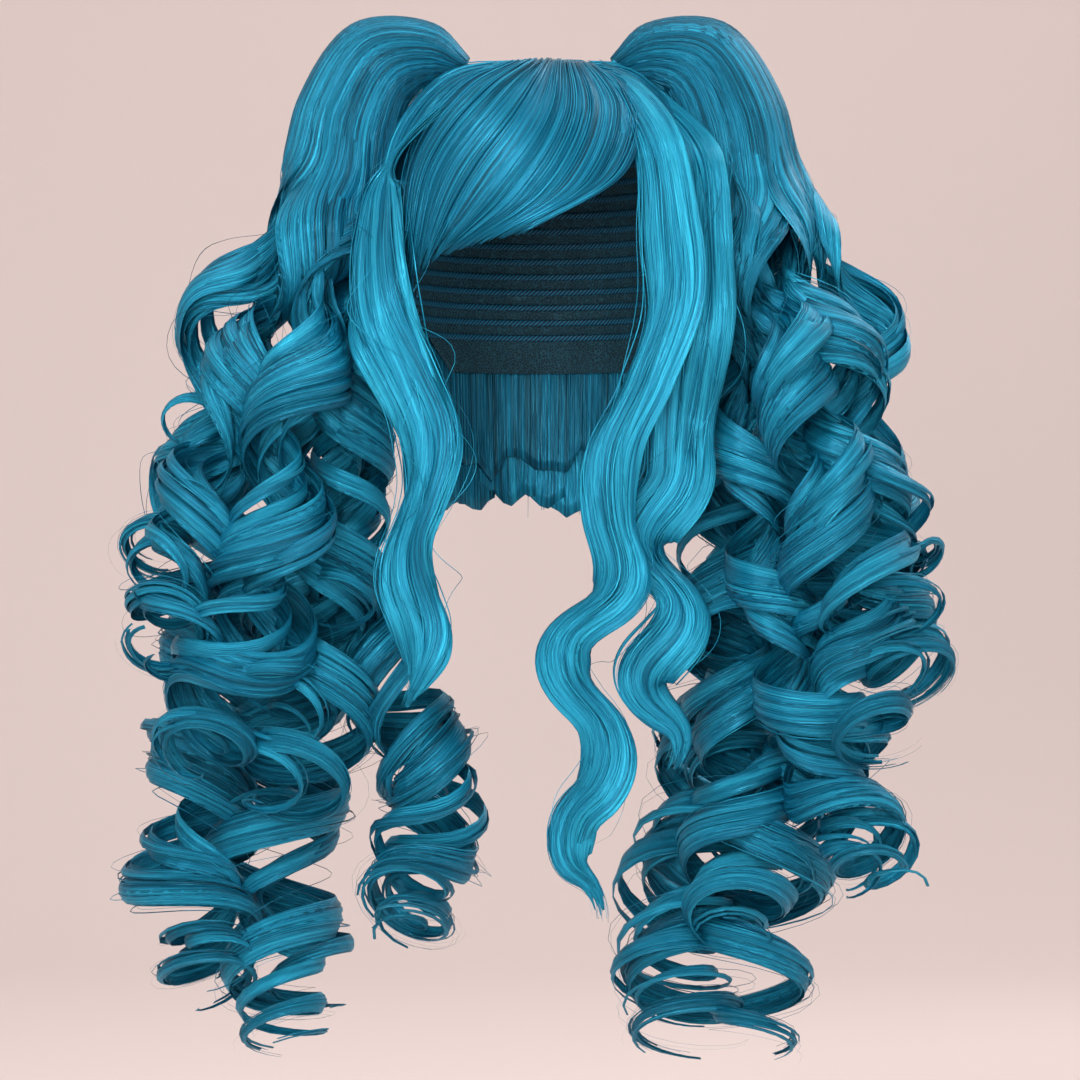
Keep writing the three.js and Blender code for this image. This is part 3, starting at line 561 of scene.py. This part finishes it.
def arch_points(side, across, level):
    """The points of the arch at places in its bundle: the middle line, shifted square to itself by across
    and towards the back by level, both as shares of the bundle's half sizes."""
    middle = np.array([TIE_OUT, TIE_UP]) + ARCH[:, :2] * REACH
    slope = np.empty_like(middle)
    slope[1:-1] = middle[2:] - middle[:-2]
    slope[0], slope[-1] = middle[1] - middle[0], middle[-1] - middle[-2]
    slope = unit(slope)
    reach = across[:, None] * ARCH[:, 2] * REACH
    x = middle[:, 0] - slope[:, 1] * reach
    z = middle[:, 1] + slope[:, 0] * reach
    y = TIE_BACK + level[:, None] * ARCH[:, 3] * REACH
    return np.stack([side * x, y, z], -1)


def hang_points(side, points):
    """Table rows of out, down and fore as places."""
    out, down, fore = np.array(points).T
    return np.stack([side * out * REACH, -fore * DEPTH, -down * DROP], -1)


def lock_paths(rows, lock, centre, own, tuft, jitter, steps, rng):
    """Lines of hair in a lock. rows holds each line's guide points; centre and own place it across the lock:
    its tuft's middle and its place in the tuft, as shares of the half width; lines with the same number in
    tuft share their irregularities. After the point where the lock leaves the head or the arch, each line
    circles its guide. The radius grows from nothing and swells and shrinks as a sine, and the angle rises as
    a power of the way, with a last ring at the tip; a swaying lock keeps facing forward and swings from side
    to side. The lines draw together at the tip, and a gathering lock's spread out from one line as it leaves
    the arch. Returns paths, flat directions and half widths."""
    odd = rng.normal(0, 1, (6, tuft.max() + 1))[:, tuft][..., None] * jitter
    axis = spline(rows)
    run = lengths_along(axis)
    begin = run[:, lock["leave"] * PER_SEGMENT][:, None]
    place = (run - begin) / (run[:, -1:] - begin)
    axis, place = resample(axis, np.linspace(0, 1, 420), place)
    t = np.clip(place, 0, 1)
    before = np.clip(-place, 0, 1) / np.maximum((-place).max(1, keepdims=True), 1e-6)
    along = unit(np.gradient(axis, axis=1))
    normal = unit(LEAN - (along @ LEAN)[..., None] * along)
    across = np.cross(along, normal)
    start = lock["start"]
    curled = np.clip((t - start) / (1 - start), 0, 1)
    ring = math.copysign(lock["ringlet"], lock["turns"]) * np.clip((t - 0.9) / 0.1, 0, 1) ** 2
    angle = 2 * np.pi * (lock["turns"] * (1 + 0.006 * odd[0]) * curled ** TIGHTENING + ring)
    uneven = 1 + 0.17 * np.sin(14 * curled + lock["phase"]) + 0.05 * odd[1]
    grown = (0.25 + 0.75 * smooth(0, 0.5, curled)) * smooth(start - 0.08, start + 0.12, t)
    radius = lock["curl"] * uneven * grown * smooth(0, 0.03, t) * (1 + lock["opening"] * smooth(0.4, 1, t))
    radius = radius * (1 - 0.5 * lock["ringlet"] * smooth(0.88, 1, t))
    turned = 1 - smooth(0.02, 0.3, place)
    facing = lock["facing"] + (lock["root_facing"] - lock["facing"])[:, None] * turned
    angle_out = (facing + (SWAY_TURN * np.cos(angle) if lock["sways"] else angle) + 0.07 * odd[2])[..., None]
    flat = normal * np.cos(angle_out) + across * np.sin(angle_out)
    swing = normal * (SWAY_DEPTH * np.cos(angle))[..., None] + across * np.sin(angle)[..., None]
    middle = axis + (swing if lock["sways"] else flat) * radius[..., None]
    along = unit(np.gradient(middle, axis=1))
    flat = unit(flat - (flat * along).sum(-1, keepdims=True) * along)
    wide = np.cross(along, flat)
    full = lock["width"] / 2 * (lock["root"] + (1 - lock["root"]) * smooth(0, 0.15, t))
    taper = 0.75 if lock["gathers"] else 1.0
    full = full * (1 - lock["narrowing"] * smooth(0.2, 0.75, t)) * (1 - 0.25 * taper * smooth(0.85, 1, t))
    own_width = smooth(0.05, 0.34, t) if lock["gathers"] else 1 - 0.6 * before
    tip = (1 - 0.75 * taper * smooth(0.9, 1.0, t)) * (1 - 0.85 * smooth(0.955, 1, t))
    drift = 0.13 * jitter * np.sin(t * (8 + 3 * odd[3]) + 5 * odd[4]) * (1 - 0.6 * smooth(0.8, 1, t))
    gathered = centre[:, None] * (1 - 0.65 * taper * smooth(0.84, 1, t))
    sideways = (gathered + own[:, None] * tip + drift) * full * own_width
    crown = (1 - np.clip(centre + own, -1, 1) ** 2)[:, None] * lock["dome"] * full + 0.5 * MM * odd[5]
    middle = middle + wide * sideways[..., None] + flat * (crown * smooth(0.02, 0.25, t))[..., None]
    ends = 1 - 0.02 * np.abs(odd[4]).clip(0, 2)
    share = np.linspace(0, 1, steps)
    return resample(middle, share * (1.25 - 0.25 * share) * ends, flat, full)


def lock_strips(rows_for, lock, tufts, lines, share, bulge, lift, jitter, steps, rng, seed):
    """Tufts of a lock, each a strip of lines that reaches share of the lock's half width to either side. The
    strip rises by bulge, as a share of that half width, and lies lift over the lock's face. rows_for gives
    the guide points for places across the lock."""
    middles = np.linspace(-1, 1, tufts) * (1 - share) + rng.normal(0, 0.07, tufts)
    centre = np.repeat(middles, lines)
    spread = share * (1 if tufts == 1 else rng.uniform(0.55, 1.35, (tufts, 1)))
    own = (spread * np.linspace(-1, 1, lines)).ravel()
    tuft = np.repeat(np.arange(tufts), lines)
    rows, facing = rows_for(centre + own)
    lock = {**lock, "root_facing": facing}
    paths, flat, full = lock_paths(rows, lock, centre, own, tuft, jitter, steps, rng)
    rails, flat = (v.reshape(tufts, lines, steps, 3) for v in (paths, flat))
    way = np.linspace(0, 1, steps)
    rails = rails + flat * (lift * smooth(0.05, 0.3, way))[:, None]
    crown = full.reshape(tufts, lines, steps).mean(1) * bulge * (0.3 + 0.7 * smooth(0, 0.3, way)) * (
        1 - 0.7 * smooth(0.9, 1, way))
    return strip_mesh(rails, flat, crown, 0.25 * MM, rng.uniform(0.2, 0.8, tufts), seed, lock["painted_root_shade"])


def lock_body(rows_for, lock, tufts, share, bulge, steps, rng, seeds):
    """A lock's broad base strip, and the raised tufts that lie on it."""
    return [lock_strips(rows_for, lock, 1, 13, 0.95, 0.03, 0.0, 0.5, steps, rng, seeds[0]),
            lock_strips(rows_for, lock, tufts, 5, share, bulge, 0.6 * MM, 1.0, steps, rng, seeds[1])]


def lock_strands(rows_for, lock, count, reach, radius, jitter, steps, rng, seed):
    """Single thin strands in and around a lock."""
    centre = rng.uniform(-reach, reach, count)
    rows, facing = rows_for(np.clip(centre, -1, 1))
    lock = {**lock, "root_facing": facing}
    paths, flat, full = lock_paths(rows, lock, centre, np.zeros(count), np.arange(count), jitter, steps, rng)
    way = np.linspace(0, 1, steps)
    girth = radius * rng.uniform(0.6, 1.3, (count, 1)) * (1 - 0.75 * smooth(0.75, 1, way))
    paths = paths + flat * (rng.uniform(0.2, 1.2, (count, 1)) * MM * smooth(0.05, 0.3, way))[..., None]
    return tube_mesh(paths, flat, girth, girth * 0.7, 4, rng.uniform(0.2, 1, count), seed)


class BuildStage(bpy.types.Operator):
    """Makes the camera, the soft lights and the pale backdrop."""

    bl_idname = "wig.build_stage"
    bl_label = "Stage"

    def execute(self, context):
        colours = context.scene.wig_colours
        scene = context.scene
        camera_data = bpy.data.cameras.new("camera")
        camera = bpy.data.objects.new("camera", camera_data)
        scene.collection.objects.link(camera)
        camera.location = (0, -2.3, -0.263)
        camera.rotation_euler = (math.pi / 2, 0, 0)
        camera_data.sensor_fit = "HORIZONTAL"
        # Half the width that the picture covers, and how far off it covers it
        half_width, distance = 0.3025, 2.27
        camera_data.angle = 2 * math.atan(half_width / distance)
        scene.camera = camera
        scene.view_settings.view_transform = "Standard"

        wig_aim = Vector((0, 0, -0.25))
        wall_aim = Vector((0, 4.2, -0.25))
        for name, place, aim, size, power in (
            ("key_light", (-0.9, -2.2, 1.5), wig_aim, 0.6, 48),
            ("fill_light", (1.7, -2.0, 0.2), wig_aim, 1.2, 24),
            ("front_light", (-0.4, -2.9, 0.0), wig_aim, 0.9, 38),
            ("top_light", (0.2, -0.3, 1.9), wig_aim, 1.0, 12),
            ("rim_light", (1.3, 1.1, 1.0), wig_aim, 0.9, 14),
            ("wall_light", (0, 1.4, 2.8), wall_aim, 2.0, 30),
        ):
            light = bpy.data.lights.new(name, "AREA")
            light.size = size
            light.energy = power
            lamp = bpy.data.objects.new(name, light)
            lamp.location = place
            lamp.rotation_euler = (aim - Vector(place)).to_track_quat("-Z", "Y").to_euler()
            scene.collection.objects.link(lamp)

        world = bpy.data.worlds.new("studio")
        world.use_nodes = True
        background = world.node_tree.nodes["Background"]
        background.inputs["Color"].default_value = (0.95, 0.9, 0.88, 1)
        background.inputs["Strength"].default_value = 0.5
        scene.world = world

        # Floor and wall in one sheet: a straight floor, a quarter circle and a straight wall, as one profile
        turn = np.linspace(0, np.pi / 2, 24)
        floor_z, wall_y, bend = -0.72, 4.2, 2.2
        y = np.concatenate([[-6.0], wall_y - bend + bend * np.sin(turn), [wall_y]])
        z = np.concatenate([[floor_z], floor_z + bend - bend * np.cos(turn), [5.0]])
        x = np.array([-7.0, 7.0])
        places = np.stack(np.broadcast_arrays(x[None], y[:, None], z[:, None]), -1).reshape(-1, 3)
        row = np.arange(len(y) - 1)[:, None] * 2
        quads = (row + np.array([0, 1, 3, 2])).reshape(-1, 4)
        mesh = bpy.data.meshes.new("backdrop")
        mesh.from_pydata(places, [], quads)
        mesh.shade_smooth()
        finish = Finish("backdrop_paper")
        mesh.materials.append(finish.shade(Base_Color=(*colours.backdrop, 1), Roughness=0.9))
        backdrop = bpy.data.objects.new("backdrop", mesh)
        scene.collection.objects.link(backdrop)
        return {"FINISHED"}


class BuildCap(bpy.types.Operator):
    """Gives the net cap its finish and its sewn rows of wefts inside."""

    bl_idname = "wig.build_cap"
    bl_label = "Cap"

    def execute(self, context):
        sizes, colours = context.scene.wig_sizes, context.scene.wig_colours
        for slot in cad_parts["cap"].material_slots:
            slot.material = net_finish(colours)
        heights = np.arange(-18 * MM, -150 * MM, -sizes.weft_spacing)
        turn = np.linspace(-0.12, 1.12, 90) * np.pi
        wall = -0.4 * MM
        rise = np.clip((heights - WIDEST_Z) / CROWN_HEIGHT, 0, 0.999)
        share = np.where(heights > WIDEST_Z, (1 - rise ** SQUARENESS) ** (1 / SQUARENESS), 1)
        width, depth, back = below_widest(np.minimum(heights, WIDEST_Z), wall)
        x = (width * share)[:, None] * np.cos(turn) * 0.985
        y = (depth * share)[:, None] * np.sin(turn) * 0.985 + back[:, None]
        paths = np.stack([x, y, np.broadcast_to(heights[:, None], x.shape)], -1)
        flat = np.stack([-x, -y, np.zeros_like(x)], -1)
        count = len(heights)
        arrays = tube_mesh(paths, flat, np.full(x.shape, 1.9 * MM), np.full(x.shape, 0.7 * MM), 6,
                           np.full(count, 0.5), 3)
        add_piece("cap_wefts", arrays, stitch_finish(colours), "net")
        return {"FINISHED"}


class BuildClips(bpy.types.Operator):
    """Gives the clips their moulded plastic."""

    bl_idname = "wig.build_clips"
    bl_label = "Clips"

    def execute(self, context):
        material = clip_finish(context.scene.wig_colours)
        for node in ("clip_right", "clip_left"):
            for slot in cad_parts[node].material_slots:
                slot.material = material
        return {"FINISHED"}


class BuildCrownHair(bpy.types.Operator):
    """Combs hair from the whorl over the crown and down the back."""

    bl_idname = "wig.build_crown_hair"
    bl_label = "Crown hair"

    @staticmethod
    def end_heights(bearings):
        """Where each bearing's hair ends: at the hairline in front, above the ear at the sides, and at the
        tips of the back hair behind."""
        x, y = np.cos(bearings), np.sin(bearings)
        front = -OPENING_TOP + 4 * MM - 26 * MM * smooth(0.45, 0.85, np.abs(x))
        tips = WIDEST_Z - NAPE_DROP - BACK_HAIR_LENGTH + 4 * MM
        ends = np.where(y < 0, HAIR_EDGE_Z + (front - HAIR_EDGE_Z) * smooth(0.34, 0.48, -y), HAIR_EDGE_Z)
        return ends + (tips - HAIR_EDGE_Z) * smooth(0.02, 0.2, y) * (y > 0)

    @staticmethod
    def puffed(paths, normal, extra=0.0):
        """Lifts the hair at the sides of the head, where it is drawn up to each tie, and lowers it under
        the fringe: bell curves of the distance from the tie, and smooth steps."""
        x, y, z = np.moveaxis(paths, -1, 0)
        height = 12 * MM * np.exp(-((z + 42 * MM) / (44 * MM)) ** 2 - ((y - TIE_BACK) / (36 * MM)) ** 2)
        height = height * smooth(0.3, 0.7, np.abs(x) / HALF_WIDTH)
        from_tie = (np.abs(x) - TIE_OUT) ** 2 + (y - TIE_BACK) ** 2
        height = height + 6 * MM * np.exp(-from_tie / (20 * MM) ** 2) * smooth(-60 * MM, -20 * MM, z)
        under_fringe = smooth(-4 * MM, -16 * MM, y) * smooth(46 * MM, 30 * MM, x)
        return paths + normal * (height + extra - 3.6 * MM * under_fringe)[..., None]

    def execute(self, context):
        sizes, colours = context.scene.wig_sizes, context.scene.wig_colours
        rng = np.random.default_rng(11)
        material = hair_finish("crown_fibre", colours, contrast=1.5)

        # Under layer: an outer and an inner skin, joined at the ends of the hair
        bearings = np.linspace(0, 2 * np.pi, 73)[:-1]
        ends = self.end_heights(bearings) + (26 + 6 * np.sin(17 * bearings) + 5 * np.sin(41 * bearings)) * MM
        outer = combed_paths(bearings, ends, HAIR_OUTSIDE - 3.2 * MM, 44)
        outer = self.puffed(outer, head_normals(outer))
        inner = combed_paths(bearings, ends, HAIR_INSIDE + 0.3 * MM, 44)
        rings = np.concatenate([outer, inner[:, ::-1]], axis=1)
        count, steps = rings.shape[:2]
        index = np.arange(count * steps).reshape(count, steps)
        after = np.roll(index, -1, axis=1)
        beside = np.roll(index, -1, axis=0)
        quads = np.stack([index, after, np.roll(after, -1, axis=0), beside], -1).reshape(-1, 4)
        strand = np.stack(np.broadcast_arrays(bearings[:, None] * 90, np.arange(steps) * 4.0), -1)
        strand = strand.reshape(-1, 2)
        # The under layer takes the low tone 0.1: painted shade where it shows between the strips laid over
        # it.
        parts = [(rings.reshape(-1, 3), quads, strand, np.full(count * steps, 0.1))]

        number, lines, steps = sizes.crown_strips, 7, 42
        way = np.linspace(0, 1, steps)
        x = np.linspace(-1, 1, lines)
        middles = (np.arange(number) + rng.uniform(-0.3, 0.3, number)) * 2 * np.pi / number
        bearings = (middles[:, None] + x * 0.75 * 2 * np.pi / number).ravel()
        lines_apart = np.tile(x, number)[:, None]
        ends = self.end_heights(np.repeat(middles, lines))
        ends = ends + np.repeat(rng.uniform(-4, 12, number), lines) * MM
        ends = ends + (9 * np.abs(lines_apart[:, 0]) ** 1.5 + rng.uniform(-2, 2, number * lines)) * MM
        paths = combed_paths(bearings, ends, HAIR_OUTSIDE - 2.0 * MM, steps)
        normal = head_normals(paths)
        sideways = np.cross(unit(np.gradient(paths, axis=1)), normal)
        wander = np.sin(way * 6 + np.repeat(rng.uniform(0, 6.3, number), lines)[:, None]) * 2.2 * MM * way
        pinch = lines_apart * 5.6 * MM * smooth(0.74, 1, way)
        paths = self.puffed(paths, normal) + sideways * (wander - pinch)[..., None]
        shape = (number, lines, steps, 3)
        crown = rng.uniform(0.7, 1.7, (number, 1)) * MM * (0.2 + 0.8 * smooth(0, 0.3, way))
        parts.append(strip_mesh(paths.reshape(shape), normal.reshape(shape), crown, 0.3 * MM,
                                rng.uniform(0.25, 0.75, number), 20))

        number = int(sizes.crown_strips * 1.5)
        bearings = rng.uniform(0, 2 * np.pi, number)
        ends = self.end_heights(bearings) + rng.uniform(-6, 8, number) * MM
        paths = combed_paths(bearings, ends, HAIR_OUTSIDE - 0.6 * MM, steps)
        normal = head_normals(paths)
        sideways = np.cross(unit(np.gradient(paths, axis=1)), normal)
        wander = np.sin(way * 5 + rng.uniform(0, 6.3, (number, 1))) * 3.5 * MM * way
        paths = self.puffed(paths, normal, rng.uniform(-0.6, 0.8, (number, 1)) * MM)
        paths = paths + sideways * wander[..., None]
        girth = 0.55 * MM * (0.3 + 0.7 * smooth(0, 0.3, way)) * (1 - 0.7 * smooth(0.85, 1, way))
        girth = girth * rng.uniform(0.6, 1.4, (number, 1))
        parts.append(tube_mesh(paths, normal, girth, girth, 4, rng.uniform(0.3, 1, number), 21))
        add_piece("crown_hair_combed", join(parts), material, "hair", "crown_hair")
        return {"FINISHED"}


class BuildFringe(bpy.types.Operator):
    """Combs hair from the parting across the forehead."""

    bl_idname = "wig.build_fringe"
    bl_label = "Fringe"

    @staticmethod
    def strands(shares, wall, steps, reach):
        """Fringe strands: curves between the guides, blended by share, laid on the head grown by wall."""
        rows = spline(np.swapaxes(FRINGE_GUIDES, 0, 1).copy())
        picked = np.clip(shares, 0, 1) * (rows.shape[1] - 1)
        low = np.minimum(picked.astype(int), rows.shape[1] - 2)
        mix = (picked - low)[:, None]
        guides = np.stack([row[low] * (1 - mix) + row[low + 1] * mix for row in rows], 1)
        flat_paths = resample(spline(guides), np.linspace(0, 1, steps) * reach[:, None])[0]
        x, z = flat_paths[..., 0] * HALF_WIDTH, flat_paths[..., 1] * CROWN_HEIGHT
        grown = np.broadcast_to(np.reshape(wall, (-1, 1)), x.shape)
        x = np.clip(x, -(HALF_WIDTH + grown) * 0.985, None)
        return np.stack([x, front_depth(x, z, grown), z], -1)

    def execute(self, context):
        sizes, colours = context.scene.wig_sizes, context.scene.wig_colours
        rng = np.random.default_rng(23)
        # The shift of -0.03 darkens the fringe a little: painted shade on the same hair colour.
        material = hair_finish("fringe_fibre", colours, painted_light_shift=-0.03, contrast=1.2)
        steps = 56
        way = np.linspace(0, 1, steps)
        parts = []
        for layer, (number, lines, wall, span, crown, spread) in enumerate((
            (10, 13, HAIR_INSIDE + 2.8 * MM, 1.5, 2.0 * MM, 0.012),
            (sizes.fringe_strips, 11, HAIR_INSIDE + 5.2 * MM, 1.25, 0.9 * MM, 0.03),
        )):
            x = np.linspace(-1, 1, lines)
            middles = (np.arange(number) + 0.5 + rng.uniform(-0.25, 0.25, number)) / number
            shares = (middles[:, None] + x * span * 0.5 / number).ravel()
            reach = 1 - np.repeat(np.abs(rng.normal(0, spread, number)), lines)
            lift = np.repeat(rng.uniform(-0.7, 0.7, number), lines) * MM
            paths = self.strands(shares, wall + lift, steps, reach)
            shape = (number, lines, steps, 3)
            rails = paths.reshape(shape)
            centre = rails.mean(1, keepdims=True)
            rails = centre + (rails - centre) * (1 - 0.8 * smooth(0.86, 1, way))[:, None]
            depth = crown * rng.uniform(0.6, 1.3, (number, 1)) * (0.5 + 0.5 * smooth(0, 0.3, way))
            depth = depth * (1 - 0.8 * smooth(0.9, 1, way))
            parts.append(strip_mesh(rails, head_normals(rails), depth, 0.14 * MM,
                                    rng.uniform(0.3, 0.7, number), 40 + layer))
        number = sizes.fringe_strips * 6
        shares = rng.uniform(0, 1, number)
        paths = self.strands(shares, HAIR_INSIDE + rng.uniform(5.2, 7.2, number) * MM, steps,
                             1 - np.abs(rng.normal(0, 0.03, number)))
        girth = 0.42 * MM * (1 - 0.75 * smooth(0.8, 1, way)) * rng.uniform(0.5, 1.4, (number, 1))
        parts.append(tube_mesh(paths, head_normals(paths), girth, girth, 4, rng.uniform(0.3, 1, number), 47))
        add_piece("fringe_combed", join(parts), material, "hair", "fringe")
        return {"FINISHED"}


class BuildSideLocks(bpy.types.Operator):
    """Hangs the wavy locks that frame the face."""

    bl_idname = "wig.build_side_locks"
    bl_label = "Side locks"

    def execute(self, context):
        colours = context.scene.wig_colours
        # The shift of 0.17 lightens the side locks: painted light on the same hair colour.
        material = hair_finish("side_lock_fibre", colours, painted_light_shift=0.17, contrast=1.7)
        for number, (name, side, radius, turns, face, start, width, lead, hang) in enumerate(SIDE_LOCKS):
            rng = np.random.default_rng(50 + number)
            lead = np.array(lead)
            x, z = lead[:, 0] * HALF_WIDTH, lead[:, 1] * CROWN_HEIGHT
            root = np.stack([x, front_depth(x, z, HAIR_OUTSIDE - 1.0 * MM), z], -1)
            points = np.concatenate([root, hang_points(side, hang)])
            facing = -side * math.radians(face)
            lock = {"leave": 2, "start": start, "turns": turns, "phase": number, "curl": radius * MM,
                    "facing": facing, "sways": True, "gathers": False, "width": width * MM, "root": 0.8,
                    "narrowing": 0.15, "opening": 0.0, "ringlet": 0.0, "dome": 0.2, "painted_root_shade": 0.0}

            def rows_for(places):
                return np.repeat(points[None], len(places), axis=0), np.full(len(places), facing)

            parts = lock_body(rows_for, lock, 6, 0.24, 0.08, 110, rng, (55 + number, 60 + number))
            parts.append(lock_strands(rows_for, lock, 26, 1.0, 0.42 * MM, 1.4, 100, rng, 70 + number))
            parts.append(lock_strands(rows_for, lock, 7, 1.3, 0.2 * MM, 4.0, 100, rng, 75 + number))
            add_piece(name + "_waves", join(parts), material, "hair", name)
        return {"FINISHED"}


class BuildPigtails(bpy.types.Operator):
    """Builds both pigtails: an arch of hair that parts into curled locks, small locks and loose hairs."""

    bl_idname = "wig.build_pigtails"
    bl_label = "Pigtails"

    @staticmethod
    def arch_core(side):
        """The bundle's inside: one tube whose middle line and half sizes follow the arch's table."""
        rows = spline(ARCH[None], 5)
        out, up, wide, deep = np.moveaxis(rows * REACH, -1, 0)
        paths = np.stack([side * (TIE_OUT + out), np.full_like(out, TIE_BACK), TIE_UP + up], -1)
        flat = np.zeros_like(paths) + (0.0, 1.0, 0.0)
        # The core takes the low tone 0.1: painted shade inside the bundle, where it shows between the locks.
        return tube_mesh(paths, flat, 0.84 * wide, 0.84 * deep, 20, np.array([0.1]), 5)

    @staticmethod
    def pigtail_lock(side, row, centre, sector, shift=0.0, scale=1.0, phase=0.0):
        """A lock's settings and the guide points of its lines: each line takes its own angle round the arch
        and comes together with the others on the row's points below it."""
        across, level, radius, turns, start, width, points = row
        hang = hang_points(side, points) + shift
        hang[-1, 1] -= TIP_FORWARD
        hang[:, 1] = np.maximum(hang[:, 1], -FOREMOST)
        facing = math.remainder(-side * math.atan2(across, -level), 2 * math.pi)
        lock = {"leave": LOCKS_LEAVE_AT, "start": start, "turns": turns, "phase": phase,
                "curl": radius * scale * MM, "facing": facing, "sways": False, "gathers": True,
                "width": width * MM, "root": 0.85, "narrowing": 0.36, "opening": 0.35, "ringlet": 0.6,
                # The last value darkens the roots on the arch against the curls: painted shade.
                "dome": 0.3, "painted_root_shade": 0.4}

        def rows_for(places):
            angles = centre - side * places * sector / 2
            arch = arch_points(side, 0.96 * np.sin(angles), -0.96 * np.cos(angles))[:, :5]
            apart = arch[:, 4] - arch_points(side, 0.96 * np.sin([centre]), -0.96 * np.cos([centre]))[:, 4]
            hanging = np.repeat(hang[None], len(places), axis=0)
            hanging[:, 0] += 0.8 * apart
            hanging[:, 1] += 0.4 * apart
            rows = np.concatenate([arch, hanging], axis=1)
            turn = np.remainder(-side * angles - facing + np.pi, 2 * np.pi) - np.pi
            return rows, facing + turn

        return lock, rows_for

    def execute(self, context):
        sizes, colours = context.scene.wig_sizes, context.scene.wig_colours
        # The shift of -0.05 darkens the pigtails: painted shade on the same hair colour.
        material = hair_finish("pigtail_fibre", colours, painted_light_shift=-0.05)
        for side, word, table in ((-1, "right", RIGHT_LOCKS), (1, "left", LEFT_LOCKS)):
            rng = np.random.default_rng(80 + side)
            order = np.argsort([math.atan2(row[0], -row[1]) for row in table])
            rank = np.argsort(order)
            sector = 2 * np.pi / len(table)
            main, loose, small = [self.arch_core(side)], [], []
            for place, which in enumerate(order):
                row = table[which]
                centre = -np.pi + (place + 0.5) * sector
                lock, rows_for = self.pigtail_lock(side, row, centre, sector * 1.15, phase=place * 1.7)
                main += lock_body(rows_for, lock, sizes.tufts_per_lock, 0.26, 0.09, 130, rng,
                                  (85 + place, 95 + place))
                loose.append(lock_strands(rows_for, lock, 9, 1.0, 0.4 * MM, 1.5, 90, rng, 105 + place))
                count = sizes.flyaways // len(table)
                loose.append(lock_strands(rows_for, lock, count, 1.4, 0.17 * MM, 4.0, 90, rng, 115 + place))

            for number in range(sizes.small_locks):
                row = table[number % len(table)]
                down = np.linspace(0, 1, len(row[6]))[:, None]
                shift = rng.normal(0, 1, 3).clip(-1.2, 1.2) * 13 * MM * (0.35 + 0.65 * down)
                keep = max(3, int(round(len(row[6]) * min(rng.uniform(0.6, 1.25), 1.0))))
                turns = row[3] * keep / len(row[6]) * rng.uniform(0.85, 1.15)
                own = (row[0], row[1], row[2], turns, row[4], rng.uniform(14, 22), row[6][:keep])
                centre = -np.pi + (rank[number % len(table)] + 0.5 + rng.uniform(-0.4, 0.4)) * sector
                lock, rows_for = self.pigtail_lock(side, own, centre, 0.5, shift[:keep],
                                                   rng.uniform(0.6, 1.0), number)
                small.append(lock_strips(rows_for, lock, 1, 7, 0.95, 0.1, 0.0, 1.0, 90, rng, 130 + number))
                small.append(lock_strips(rows_for, lock, 1, 3, 0.4, 0.1, 0.5 * MM, 2.0, 90, rng,
                                         160 + number))
            for ending, parts in (("_locks", main), ("_loose_hairs", loose), ("_small_locks", small)):
                add_piece("pigtail_" + word + ending, join(parts), material, "hair", "pigtail_" + word)
        return {"FINISHED"}


OPERATORS = (BuildStage, BuildCap, BuildClips, BuildCrownHair, BuildFringe, BuildSideLocks, BuildPigtails)


class WigPanel(bpy.types.Panel):
    """Lists the wig's pieces in the sidebar."""

    bl_idname = "VIEW3D_PT_pigtail_wig"
    bl_label = "Pigtail wig"
    bl_space_type = "VIEW_3D"
    bl_region_type = "UI"
    bl_category = "Wig"

    def draw(self, context):
        for group in (context.scene.wig_sizes, context.scene.wig_colours):
            for name in group.bl_rna.properties.keys():
                if name not in ("rna_type", "name"):
                    self.layout.prop(group, name)
        for operator in OPERATORS:
            self.layout.operator(operator.bl_idname)


CLASSES = (WigSizes, WigColours, *OPERATORS, WigPanel)


def register():
    for item in CLASSES:
        bpy.utils.register_class(item)
    bpy.types.Scene.wig_sizes = bpy.props.PointerProperty(type=WigSizes)
    bpy.types.Scene.wig_colours = bpy.props.PointerProperty(type=WigColours)


def unregister():
    del bpy.types.Scene.wig_colours
    del bpy.types.Scene.wig_sizes
    for item in reversed(CLASSES):
        bpy.utils.unregister_class(item)


def main():
    register()
    for operator in OPERATORS:
        group, name = operator.bl_idname.split(".")
        getattr(getattr(bpy.ops, group), name)()
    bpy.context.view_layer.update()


if __name__ == "__main__":
    main()
